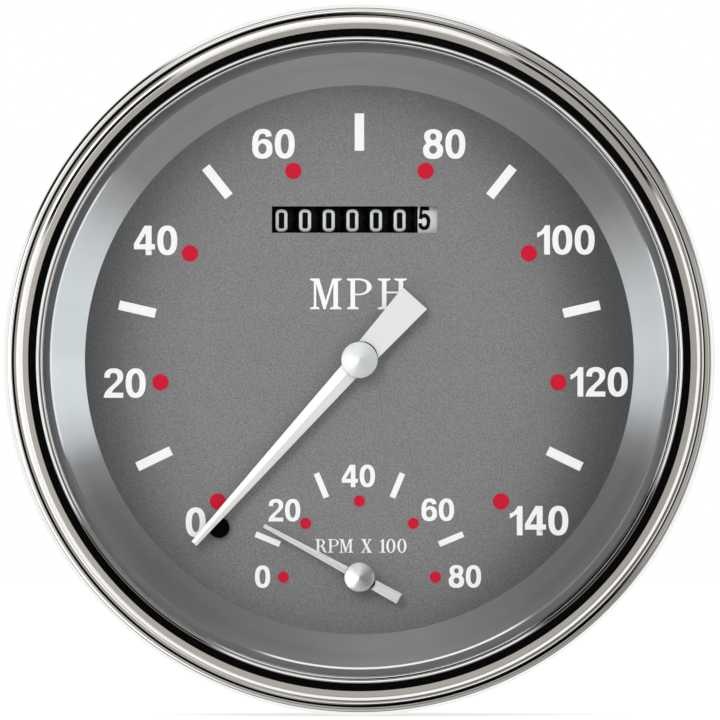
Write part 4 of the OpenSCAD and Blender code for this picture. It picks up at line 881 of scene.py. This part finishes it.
class SPEEDOMETER_OT_numerals(bpy.types.Operator):
    """Prints the numerals of both scales and the plain words for their units"""
    bl_idname = "speedometer.numerals"
    bl_label = "Numerals"

    def execute(self, context):
        sizes = context.scene.speedometer_sizes
        speed = {"0": (-29.28, -29.03), "20": (-41.99, -4.15), "40": (-36.45, 21.38),
                 "60": (-15.36, 38.65), "80": (15.18, 38.61), "100": (36.93, 21.47),
                 "120": (42.87, -3.93), "140": (32.13, -28.75)}
        tach = {"0": (-17.32, -38.77), "20": (-13.44, -26.89), "40": (-0.18, -20.75),
                "60": (14.02, -26.80), "80": (18.88, -38.72)}
        shapes, words = [], []
        for table, high in ((speed, sizes.numeral), (tach, sizes.small_numeral)):
            for number, (x, y) in table.items():
                shapes += sans_number(number, x, y, high / METRE)
        # each word's letters with their left edges, the capitals' height and the base line
        for letters, lefts, cap_high, y in (
                ("MPH", (-8.92, -2.31, 3.15), 5.506, 9.06),
                ("RPMX100", (-7.94, -5.67, -3.65, 0.29, 3.56, 4.81, 6.78), 2.43, -34.48)):
            for letter, x in zip(letters, lefts):
                words += contours(SERIF[letter], x, y, cap_high / SERIF_HIGH)
        for name, drawn in (("dial_numerals", shapes), ("dial_words", words)):
            film = outline(name, drawn, MARK_T, Z_DIAL)
            hide_from_mirrors(finish_piece(film, "mark_white"))
        return {"FINISHED"}


class SPEEDOMETER_OT_pointer_stop(bpy.types.Operator):
    """Turns the rubber bumper and its pin beside the zero"""
    bl_idname = "speedometer.pointer_stop"
    bl_label = "Pointer stop"

    def execute(self, context):
        r, high, pin_r, pin_foot, pin_top = 1.86, 1.4, 0.6, -2.3, 3.4
        section = [(0, pin_foot), (pin_r - 0.1, pin_foot), (pin_r, pin_foot + 0.1), (pin_r, 0),
                   (r - 0.12, 0), (r, 0.12)]
        section += arc(r - 0.45, high - 0.45, 0.45, 0, 90, 6)
        section += arc(pin_r + 0.2, high + 0.2, 0.2, -90, -180, 3)
        section += arc(pin_r - 0.3, pin_top - 0.3, 0.3, 0, 90, 5) + [(0, pin_top)]
        stop = shift(lathe("stop_bumper", section, 64), *polar(STOP_RING, STOP_TURN), Z_DIAL)
        hide_from_mirrors(finish_piece(stop, "black_rubber", "pointer_stop"))
        return {"FINISHED"}


def ridged_blade(name, length, hub_w, tip_w, mid):
    """A blade at twelve o'clock with its underside at z = 0: a grid is drawn in to the taper,
    folded along its middle and extruded down to a flat back."""
    ridge_slope = tan(radians(19.3))
    bpy.ops.object.select_all(action="DESELECT")
    bpy.ops.mesh.primitive_grid_add(x_subdivisions=14, y_subdivisions=18, size=2)
    obj = bpy.context.object
    obj.name = name
    for vertex in obj.data.vertices:
        along = (vertex.co.y + 1) / 2
        half = hub_w / 2 + (tip_w - hub_w) / 2 * along
        x = half * vertex.co.x
        vertex.co = (x, along * length, mid - abs(x) * ridge_slope)
    edit(obj, (bpy.ops.mesh.extrude_region_move,
               {"TRANSFORM_OT_translate": {"value": (0, 0, -2 * mid)}}))
    for vertex in obj.data.vertices:
        vertex.co.z = max(vertex.co.z, 0)
    return tidy_shell(obj, 40)


def pointer(name, length, hub_w, tip_w, tail, tail_w, cap_d):
    """Blade, flat tail and hub boss fused into one solid at twelve o'clock."""
    blade = bevel(ridged_blade(name, length, hub_w, tip_w, 0.9), 0.05, 2, 50)
    root, hub_r, bore_r, hub_top, boss_foot = hub_w * 1.15, cap_d / 2 - 0.45, 0.8, 0.61, -0.9
    boss_r = min(2.0, hub_r)
    flat = bevel(outline("tail", [[(-root / 2, 1), (-tail_w / 2, -tail), (tail_w / 2, -tail),
                                   (root / 2, 1)]], 0.6), 0.09, 3)
    hub = lathe("hub", [(bore_r, boss_foot), (boss_r - 0.1, boss_foot), (boss_r, boss_foot + 0.1),
                        (boss_r, -0.02), (hub_r - 0.05, 0.003), (hub_r, 0.05),
                        (hub_r, hub_top - 0.06), (hub_r - 0.06, hub_top), (bore_r, hub_top)], 64)
    bore = lathe("bore", [(0, -2), (bore_r, -2), (bore_r, 2), (0, 2)], 48)
    return combine(combine(combine(blade, flat), hub), bore, "DIFFERENCE")


def cap(name, d):
    """A cone cap that stands on the pointer's ridge: skirt, cone and a small blunt tip."""
    r, foot, slope, tip_r = d / 2, 0.9, 0.56, 0.3
    section = [(0, foot), (r - 0.08, foot), (r, foot + 0.08), (r, foot + 0.42),
               (r - 0.03, foot + 0.5), (r - 0.1, foot + 0.56)]
    section += arc(0, foot + 0.27 + slope * (r - 0.1), tip_r, 60, 90, 4)
    return lathe(name, section, 96, 12)


def cap_washer(name, cap_d, r, shows):
    """Thin black disc under a cap, set towards the tail so that its edge shows there: painted shade
    that stands for the cap's shadow on the tail.
    """
    low, high, edge = 0.64, 0.86, 0.04
    washer = lathe(name, [(0, low), (r - edge, low), (r, low + edge), (r, high - edge),
                          (r - edge, high), (0, high)], 72)
    return shift(washer, y=r - cap_d / 2 - shows)


def assemble_pointer(kind, colour, blade, cap_d, washer, turn, y, slot, cap_look):
    """Puts a pointer on its spindle at its rest angle, with its cap and the black disc of painted
    shade under the cap.
    """
    pieces = []
    # the black disc is painted shade, standing for the cap's shadow on the tail
    for obj, own_slot, nodes, looks in (
            (shift(pointer(colour + "_pointer", *blade, cap_d), turn=turn), slot,
             [kind + "_needle"], ()),
            (cap(colour + "_cap", cap_d), slot, [kind + "_hub_cap"], [cap_look]),
            (shift(cap_washer(colour + "_cap_washer", cap_d, *washer), turn=turn),
             "black_rubber", [], ())):
        pieces.append(finish_piece(shift(obj, y=y, z=Z_NEEDLE), own_slot, *nodes,
                                   body=kind + "_pointer", looks=looks))
    hide_from_mirrors(*pieces, frame["nodes"][kind + "_spindle"])


class SPEEDOMETER_OT_speed_pointer(bpy.types.Operator):
    """Makes the white speed pointer and its cap"""
    bl_idname = "speedometer.speed_pointer"
    bl_label = "Speed pointer"

    def execute(self, context):
        # blade: length, width at hub and tip, then the tail's; disc of painted shade: radius and
        # what shows
        assemble_pointer("speed", "white", (44.2, 3.66, 1.22, 14.85, 5.85), 6.5,
                         (2.9, 0.2), SPEED_REST, 0, "pointer_white", "pearl_enamel")
        return {"FINISHED"}


class SPEEDOMETER_OT_tach_pointer(bpy.types.Operator):
    """Makes the small metal pointer and its turned cap"""
    bl_idname = "speedometer.tach_pointer"
    bl_label = "Tachometer pointer"

    def execute(self, context):
        assemble_pointer("tach", "metal", (19.4, 1.5, 0.7, 8.1, 2.0), 5.4,
                         (1.45, 0.32), TACH_REST, TACH_Y, "brushed_aluminium",
                         "turned_aluminium")
        return {"FINISHED"}


def wrap_on_drum(obj, x, first):
    """Cuts a flat strip of numerals into short bars and bends it round the drum; the numeral
    whose height is first faces the driver."""
    heights = [vertex.co.y for vertex in obj.data.vertices]
    low, high, cut = min(heights), max(heights), 0.5
    edit(obj, *[(bpy.ops.mesh.bisect, {"plane_co": (0, low + i * cut, 0), "plane_no": (0, 1, 0)})
                for i in range(1, int((high - low) / cut))])
    for vertex in obj.data.vertices:
        angle, r = (vertex.co.y - first) / DRUM_R, DRUM_R + vertex.co.z
        vertex.co = (x + vertex.co.x, DRUM_Y + r * sin(angle), Z_DRUM + r * cos(angle))
    return obj


class SPEEDOMETER_OT_wheel_numerals(bpy.types.Operator):
    """Stamps the numerals on the seven odometer wheels"""
    bl_idname = "speedometer.wheel_numerals"
    bl_label = "Wheel numerals"

    def execute(self, context):
        high = context.scene.speedometer_sizes.wheel_numeral / METRE
        step, stroke, stands = 2 * pi * DRUM_R / 10, 0.56, 0.08
        box_w, box_h = 2.12 - stroke, high - stroke
        lines = []
        for digit, text in WHEEL_STROKES.items():
            for part in text.split("|"):
                points = contours(part, -box_w / 2, -int(digit) * step - box_h / 2, box_w, box_h)
                lines.append((points[0], part.strip().endswith("*")))
        strip = brush("thin_numerals", lines, stroke, stands)
        for i, wheel in enumerate(WHEELS[:-1]):
            x = DRUM_X + (i - 3) * WHEEL_PITCH - 0.4
            numerals = wrap_on_drum(copy(strip, "numerals_" + wheel), x, 0.17)
            finish_piece(numerals, "wheel_white", body="wheel_" + wheel,
                         looks=["wheel_silver"])
        bpy.data.objects.remove(strip)
        # the tenths' numerals are those of the dial, narrower
        tenth_high, narrow, ink_t = 4.2, 0.75, 0.12
        shapes = [[(narrow * p[0], *p[1:]) for p in shape] for digit in range(10)
                  for shape in sans_number(str(digit), 0, -digit * step, tenth_high)]
        # a black band is also inked along the wheel's left edge
        shapes.append(bar(-1.43, -4.5 * step, 0.5, 10 * step - 0.05))
        ink = outline("numerals_tenths", shapes, ink_t, -ink_t / 2)
        ink = wrap_on_drum(ink, DRUM_X + 3 * WHEEL_PITCH - 0.23, -5 * step - 0.28)
        finish_piece(ink, "wheel_black", body="wheel_tenths", looks=["wheel_ink"])
        return {"FINISHED"}


class SPEEDOMETER_OT_case(bpy.types.Operator):
    """Draws the steel cup with its flange, a pressed rib and the holes in its back"""
    bl_idname = "speedometer.case"
    bl_label = "Case"

    def execute(self, context):
        rib_r, rib_w, rib_h, clear, button_hole_r = 33.6, 1.3, 0.45, 0.2, 2.15
        rib = [(rib_r + rib_w * i / 4, Z_CASE_BACK - rib_h * cos(pi * i / 8) ** 2)
               for i in range(-4, 5)]
        corner = (BARREL_R - CASE_CORNER, Z_CASE_BACK + CASE_CORNER)
        section = [(0, Z_CASE_BACK), *rib, *arc(*corner, CASE_CORNER, -90, 0, 10)]
        section += [(BARREL_R, -0.25), (BARREL_R + 0.1, 0.45), (BARREL_R + 0.45, SHEET),
                    (RING_R, SHEET), (RING_R, SHEET + CASE_WALL),
                    (BARREL_R - CASE_WALL, SHEET + CASE_WALL)]
        section += arc(*corner, CASE_CORNER - CASE_WALL, 0, -90, 10)
        section += [(r, z + CASE_WALL) for r, z in reversed(rib)]
        section += [(0, Z_CASE_BACK + CASE_WALL)]
        holes = [disc(x, 0, STUD_R + clear, 48) for x in (-STUD_X, STUD_X)]
        holes += [disc(*polar(LAMP_RING, turn), SOCKET_R + clear) for turn in LAMP_TURNS]
        holes += [disc(0, BUTTON_Y, button_hole_r, 48),
                  bar(0, BLOCK_Y, BLOCK_W + 4 * clear, BLOCK_H + 4 * clear)]
        cup = combine(lathe("drawn_case", section, 192, 25),
                      outline("holes", holes, 3, Z_CASE_BACK - 1), "DIFFERENCE")
        finish_piece(cup, "plated_steel", "case")
        return {"FINISHED"}


def screw_thread(name, r, pitch, low, high, chamfer):
    """A threaded rod: a ridge wound round a core that ends in a chamfered point."""
    core_r = r - 0.61 * pitch
    # the ridge's section: distance from the axis, and height in pitches
    profile = ((core_r - 0.1, -0.46), (r, -0.07), (r, 0.07), (core_r - 0.1, 0.46))
    ridge = wind("ridge", [(x, low + chamfer + (0.5 + z) * pitch) for x, z in profile], pitch,
                 int((high - low - chamfer) / pitch) - 1)
    core = lathe(name, [(0, low), (core_r - chamfer / 2, low), (core_r, low + chamfer / 2),
                        (core_r, high), (0, high)], 48)
    return join(name, [core, ridge])


class SPEEDOMETER_OT_studs(bpy.types.Operator):
    """Cuts the two threaded studs with their nuts and washers"""
    bl_idname = "speedometer.studs"
    bl_label = "Studs and nuts"

    def execute(self, context):
        collar_r, neck_r, head_r, head_edge = STUD_R + 1.3, 1.5, 3, 0.25
        thread_top = Z_CASE_BACK + CASE_WALL
        tip, head = level("mounting_studs", 0), level("mounting_studs", 1)
        carrier_front, carrier_back = level("carrier_plate", 1), level("carrier_plate", 0)
        stud = join("threaded_studs", [
            screw_thread("threaded_studs", STUD_R, 1.06, tip, thread_top, 0.6),
            lathe("shank", [
                (0, thread_top), (collar_r, thread_top), (collar_r, carrier_back),
                (neck_r, carrier_back), (neck_r, carrier_front), (head_r, carrier_front),
                (head_r, head - head_edge), (head_r - head_edge, head), (0, head)], 48)])
        nut_low, nut_high = level("stud_nuts", 0), Z_CASE_BACK - WASHER_T
        slope = radians(30)
        corner_r = NUT_FLATS / 2 / cos(slope)
        bpy.ops.object.select_all(action="DESELECT")
        bpy.ops.mesh.primitive_cylinder_add(vertices=6, radius=corner_r, depth=nut_high - nut_low,
                                            location=(0, 0, (nut_low + nut_high) / 2))
        nut = settle(bpy.context.object)
        # a body of turned chamfers takes off the hexagon's corners
        flat_r, corner_r = NUT_FLATS / 2 - 0.05, corner_r + 0.05
        drop = (corner_r - flat_r) * tan(slope)
        nut = combine(nut, lathe("nut_shape", [
            (0, nut_low), (flat_r, nut_low), (corner_r, nut_low + drop),
            (corner_r, nut_high - drop), (flat_r, nut_high), (0, nut_high)], 96), "INTERSECT")
        bore_r, over = STUD_R + 0.02, 0.1
        nut = combine(nut, lathe("bore", [
            (0, nut_low - over), (STUD_R + 0.5, nut_low - over), (bore_r, nut_low + 0.4),
            (bore_r, nut_high + over), (0, nut_high + over)], 48), "DIFFERENCE")
        hole_r, washer_r, front_edge, back_edge = STUD_R + 0.1, NUT_FLATS / 2 + 1.2, 0.05, 0.2
        washer = lathe("washer", [
            (hole_r, nut_high), (washer_r - back_edge, nut_high),
            (washer_r, nut_high + back_edge), (washer_r, Z_CASE_BACK - front_edge),
            (washer_r - front_edge, Z_CASE_BACK), (hole_r, Z_CASE_BACK)], 96)
        nut = join("hex_nuts", [nut, washer])
        for piece, node in ((stud, "mounting_studs"), (nut, "stud_nuts")):
            pair = repeat(piece, [(-STUD_X, 0, 0), (STUD_X, 0, 0)])
            finish_piece(pair, "plated_steel", node)
        return {"FINISHED"}


class SPEEDOMETER_OT_terminals(bpy.types.Operator):
    """Moulds the terminal block with a pocket for each brass blade"""
    bl_idname = "speedometer.terminals"
    bl_label = "Terminals"

    def execute(self, context):
        back, front = level("terminal_block", 0), level("terminal_block", 1)
        tip, root = level("terminal_blades", 0), level("terminal_blades", 1)
        places = [(i - 2.5) * BLADE_PITCH for i in range(6)]
        block = outline("terminal_housing", [bar(0, BLOCK_Y, BLOCK_W, BLOCK_H)], front - back, back)
        pockets = outline("pockets", [bar(x, BLOCK_Y, BLADE_W + 0.8, 3.4) for x in places],
                          1.6, back - 0.8)
        block = bevel(combine(block, pockets, "DIFFERENCE"), 0.25, 2, 40)
        slots = outline("slots", [bar(x, BLOCK_Y, BLADE_W + 0.1, BLADE_T + 0.1) for x in places],
                        root - back + 1, back - 1)
        finish_piece(combine(block, slots, "DIFFERENCE"), "black_plastic",
                     "terminal_block")
        half, cut, hole_r = BLADE_W / 2, 0.9, 0.7
        blade = outline("spade_terminals", [
            [(-half, root), (half, root), (half, tip + cut), (half - cut, tip),
             (cut - half, tip), (-half, tip + cut)], disc(0, tip + 2.6, hole_r, 32)], BLADE_T)
        bevel(blade, 0.12, 2, 40)
        for vertex in blade.data.vertices:
            x, along, across = vertex.co
            vertex.co = (x, BLOCK_Y - BLADE_T / 2 + across, along)
        blades = repeat(tidy_shell(blade, 40), [(x, 0, 0) for x in places])
        finish_piece(blades, "brass", "terminal_blades")
        return {"FINISHED"}


class SPEEDOMETER_OT_lamp_sockets(bpy.types.Operator):
    """Moulds the twist-in lamp sockets with a knurled flange and a finger grip"""
    bl_idname = "speedometer.lamp_sockets"
    bl_label = "Lamp sockets"

    def execute(self, context):
        front, back = level("lamp_sockets", 1), level("lamp_sockets", 0)
        body_back, body_r, flange_r, bore_r = back + 2.4, SOCKET_R - 1, SOCKET_R + 1.6, 4.85
        flange_t, fillet, edge, bore_deep, knurls = 1.8, 0.6, 0.7, 4, 36
        flange_back = Z_CASE_BACK - flange_t
        section = [(bore_r, front), (SOCKET_R - 0.3, front), (SOCKET_R, front - 0.3),
                   (SOCKET_R, Z_CASE_BACK), (flange_r - 0.35, Z_CASE_BACK),
                   (flange_r - 0.35, flange_back + 0.1), (flange_r - 0.5, flange_back)]
        section += arc(body_r + fillet, flange_back - fillet, fillet, 90, 180, 4)
        section += arc(body_r - edge, body_back + edge, edge, 0, -90, 5)
        section += [(0, body_back), (0, front - bore_deep), (bore_r, front - bore_deep)]
        body = lathe("twist_in_sockets", section, 96)
        rim = [polar(r, 90 - 360 * (i + part) / knurls) for i in range(knurls)
               for part, r in ((0, flange_r - 0.3), (0.3, flange_r), (0.7, flange_r))]
        flange = outline("flange", [rim, disc(0, 0, flange_r - 0.6)], flange_t - 0.2,
                         flange_back + 0.1)
        grip = outline("grip", [bar(0, 0, 2 * (flange_r - 0.6), 2.4)],
                       Z_CASE_BACK - flange_t / 2 - back, back)
        body = join(body.name, [body, bevel(flange, 0.1, 1, 40), bevel(grip, 0.45, 3, 40)])
        sockets = repeat(body, [(*polar(LAMP_RING, turn), turn - 90) for turn in LAMP_TURNS])
        finish_piece(sockets, "black_plastic", "lamp_sockets")
        return {"FINISHED"}


class SPEEDOMETER_OT_button_spring(bpy.types.Operator):
    """Winds the button's return spring"""
    bl_idname = "speedometer.button_spring"
    bl_label = "Button spring"

    def execute(self, context):
        low, high = level("button_spring", 0), level("button_spring", 1)
        coil_r, wire_r, turns = 1.4, 0.14, 4
        wire = arc(coil_r, low + wire_r, wire_r, 0, 330, 11)
        spring = wind("return_spring", wire, (high - low - 2 * wire_r) / turns, turns)
        finish_piece(shift(spring, y=BUTTON_Y), "plated_steel", "button_spring")
        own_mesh(spring)
        return {"FINISHED"}


# Stage

BEIGE, COOL, WHITE = (1.04, 0.99, 0.91), (0.96, 1.01, 1.03), (1, 1, 1)


def by_degrees(stops, tint=WHITE, tint_from=0.0):
    """Ramp stops round the compass from (degrees, grey) pairs; greys above tint_from are
    tinted."""
    return [(d / 360, tuple(v * t for t in (tint if v > tint_from else WHITE)))
            for d, v in stops]


def plateaus(rest, *spans, edge=2.5):
    """Ramp stops of a grey with other greys in (from, to, grey) spans of degrees."""
    out = [(0, rest)]
    for start, end, value in spans:
        out += [(start - edge, rest), (start + edge, value), (end - edge, value),
                (end + edge, rest)]
    return by_degrees(out + [(360, rest)])


def studio_world():
    """White behind the object. Metal and glass mirror a plain studio: beige walls, bright and
    dim cards round the sides and a white hall behind the dial's back."""
    world = bpy.data.worlds.new("studio")
    bpy.context.scene.world = world
    world.use_nodes = True
    tree = world.node_tree
    tree.nodes.clear()
    ray = add(tree, "TexCoord", out="Generated")
    axes = add(tree, "SeparateXYZ", {0: ray}).node
    # angle off the line from dial to camera, and compass angle round that line
    lean = add(tree, "Math", {0: add(tree, "Math", {0: axes.outputs[1], 1: -1.0},
                                     operation="MULTIPLY")}, operation="ARCCOSINE")
    lean = add(tree, "Math", {0: lean, 1: degrees(1)}, operation="MULTIPLY")
    compass = add(tree, "Math", {0: axes.outputs[2], 1: axes.outputs[0]}, operation="ARCTAN2")
    compass = add(tree, "Math", {0: compass, 1: 2 * pi}, operation="DIVIDE")
    compass = add(tree, "Math", {0: compass}, operation="FRACT")
    walls = [(0, 0.40), (45, 0.37), (90, 0.39), (120, 0.36), (150, 0.46), (180, 0.46),
             (240, 0.45), (270, 0.44), (300, 0.44), (330, 0.40), (360, 0.40)]
    # what the pointers' caps mirror
    caps = [(0, 0.24), (30, 0.3), (60, 0.55), (90, 0.85), (125, 0.9), (145, 1.2), (165, 1.6),
            (180, 1.8), (220, 1.8), (238, 1.1), (255, 0.6), (280, 0.45), (310, 0.3), (335, 0.24),
            (360, 0.24)]
    # the two faces of the speed pointer, and the cone's chamfer
    facets = [(0, 0.2), (60, 0.6), (95, 1.7), (175, 1.7), (215, 0.8), (270, 0.15), (330, 0.12),
              (360, 0.2)]
    chamfer = [(0, 1.0), (15, 1.0), (19, 0.14), (70, 0.14), (74, 1.0), (120, 1.0), (124, 0.14),
               (173, 0.14), (178, 1.0), (198, 1.0), (203, 0.14), (322, 0.14), (327, 1.0),
               (360, 1.0)]
    # what the cone mirrors: its right side sees the left of the studio
    cone = [(0, 0.95), (9, 0.91), (15, 0.69), (21, 0.27), (28, 0.165), (45, 0.144), (63, 0.162),
            (78, 0.19), (92, 0.247), (102, 0.245), (115, 0.194), (128, 0.154), (145, 0.139),
            (158, 0.153), (164, 0.26), (173, 0.70), (183, 0.80), (193, 0.71), (203, 0.45),
            (213, 0.225), (222, 0.19), (250, 0.242), (275, 0.265), (305, 0.243), (320, 0.262),
            (327, 0.43), (335, 0.72), (345, 0.875)]
    # where each band starts, in degrees off the line to the camera, and its ramp
    bands = [
        (0, by_degrees([(0, 0.002), (360, 0.002)])),
        (4, by_degrees([(0, 0.38), (80, 0.37), (92, 0.002), (318, 0.002), (330, 0.40),
                        (360, 0.39)], BEIGE, 0.1)),
        (24, by_degrees(walls, BEIGE)),
        (35.5, by_degrees(facets)),
        (41.2, by_degrees(chamfer)),
        (46, by_degrees(walls, BEIGE)),
        (50, by_degrees(caps)),
        (71.5, by_degrees(cone, COOL, 0.5)),
        (83.4, plateaus(1.05, (29, 64, 0.01), (123, 158, 0.01))),
        (115, by_degrees([(0, 1.0), (360, 1.0)])),
    ]
    # the bands fade into each other over this many degrees to either side
    blur = 0.7
    pattern = add(tree, "ValToRGB", {0: compass}, stops=bands[0][1])
    for start, stops in bands[1:]:
        band = add(tree, "ValToRGB", {0: compass}, stops=stops)
        past = add(tree, "MapRange", {0: lean, 1: start - blur, 2: start + blur})
        pattern = add(tree, "Mix", {0: past, 6: pattern, 7: band}, **COLOUR)
    paths = add(tree, "LightPath").node
    mirrored = add(tree, "Math", {0: paths.outputs["Is Glossy Ray"],
                                  1: paths.outputs["Is Transmission Ray"]}, operation="MAXIMUM")
    sky = add(tree, "Mix", {0: mirrored, 6: (0.9, 0.9, 0.9), 7: pattern}, **COLOUR)
    sky = add(tree, "Mix", {0: paths.outputs["Is Camera Ray"], 6: sky, 7: (1, 1, 1)}, **COLOUR)
    add(tree, "OutputWorld", {0: add(tree, "Background", {0: sky, 1: 1.0})})


class SPEEDOMETER_OT_stage(bpy.types.Operator):
    """Sets the floor, the lamp, the studio and the camera"""
    bl_idname = "speedometer.stage"
    bl_label = "Stage"

    def execute(self, context):
        scene = context.scene
        studio_world()
        bpy.ops.object.select_all(action="DESELECT")
        bpy.ops.mesh.primitive_circle_add(vertices=128, radius=3, fill_type="NGON",
                                          location=(0, 0, -(BEZEL_R + 0.2) * METRE))
        floor = context.object
        floor.name = "floor"
        floor.data.materials.append(finish("floor"))
        # metal mirrors the studio's walls and not the card that the instrument stands on
        floor.visible_glossy = False
        lamp = bpy.data.objects.new("key_lamp", bpy.data.lights.new("key_lamp", "AREA"))
        lamp.data.size, lamp.data.energy = 0.2, 0.85
        # in front, at the upper left
        lamp.location = (-0.225, -0.509, 0.225)
        lamp.rotation_euler = (-Vector(lamp.location)).to_track_quat("-Z", "Y").to_euler()
        lamp.visible_camera = lamp.visible_glossy = False
        scene.collection.objects.link(lamp)
        # what the photo's frame takes in at the dial, and where its middle lies
        view_wide, middle_x, middle_z = 128.715 * METRE, 0.107 * METRE, -0.018 * METRE
        distance = scene.speedometer_sizes.camera_distance
        camera = bpy.data.objects.new("camera", bpy.data.cameras.new("camera"))
        camera.location = (middle_x, -distance, middle_z)
        camera.rotation_euler = (radians(90), 0, 0)
        camera.data.lens = camera.data.sensor_width * distance / view_wide
        camera.data.clip_start, camera.data.clip_end = 0.1, 20
        scene.collection.objects.link(camera)
        scene.camera = camera
        scene.view_settings.view_transform = "Standard"
        return {"FINISHED"}


# In the order in which they run
OPERATORS = [
    SPEEDOMETER_OT_inner_parts, SPEEDOMETER_OT_bezel, SPEEDOMETER_OT_glass,
    SPEEDOMETER_OT_trim_ring, SPEEDOMETER_OT_dial, SPEEDOMETER_OT_scales,
    SPEEDOMETER_OT_numerals, SPEEDOMETER_OT_pointer_stop, SPEEDOMETER_OT_speed_pointer,
    SPEEDOMETER_OT_tach_pointer, SPEEDOMETER_OT_wheel_numerals, SPEEDOMETER_OT_case,
    SPEEDOMETER_OT_studs, SPEEDOMETER_OT_terminals, SPEEDOMETER_OT_lamp_sockets,
    SPEEDOMETER_OT_button_spring, SPEEDOMETER_OT_stage,
]


class SPEEDOMETER_PT_panel(bpy.types.Panel):
    """Lists the pieces and the values that a user may change"""
    bl_idname = "SPEEDOMETER_PT_panel"
    bl_label = "Speedometer"
    bl_space_type = "VIEW_3D"
    bl_region_type = "UI"
    bl_category = "Speedometer"

    def draw(self, context):
        for group in (context.scene.speedometer_colours, context.scene.speedometer_sizes):
            box = self.layout.box()
            for key in group.__annotations__:
                box.prop(group, key)
        for operator in OPERATORS:
            self.layout.operator(operator.bl_idname)


CLASSES = [SpeedometerColours, SpeedometerSizes, *OPERATORS, SPEEDOMETER_PT_panel]


def register():
    for cls in CLASSES:
        bpy.utils.register_class(cls)
    bpy.types.Scene.speedometer_colours = PointerProperty(type=SpeedometerColours)
    bpy.types.Scene.speedometer_sizes = PointerProperty(type=SpeedometerSizes)


def unregister():
    del bpy.types.Scene.speedometer_colours
    del bpy.types.Scene.speedometer_sizes
    for cls in reversed(CLASSES):
        bpy.utils.unregister_class(cls)


def main():
    register()
    bpy.ops.speedometer.inner_parts()
    bpy.ops.speedometer.bezel()
    bpy.ops.speedometer.glass()
    bpy.ops.speedometer.trim_ring()
    bpy.ops.speedometer.dial()
    bpy.ops.speedometer.scales()
    bpy.ops.speedometer.numerals()
    bpy.ops.speedometer.pointer_stop()
    bpy.ops.speedometer.speed_pointer()
    bpy.ops.speedometer.tach_pointer()
    bpy.ops.speedometer.wheel_numerals()
    bpy.ops.speedometer.case()
    bpy.ops.speedometer.studs()
    bpy.ops.speedometer.terminals()
    bpy.ops.speedometer.lamp_sockets()
    bpy.ops.speedometer.button_spring()
    bpy.ops.speedometer.stage()


if __name__ == "__main__":
    main()
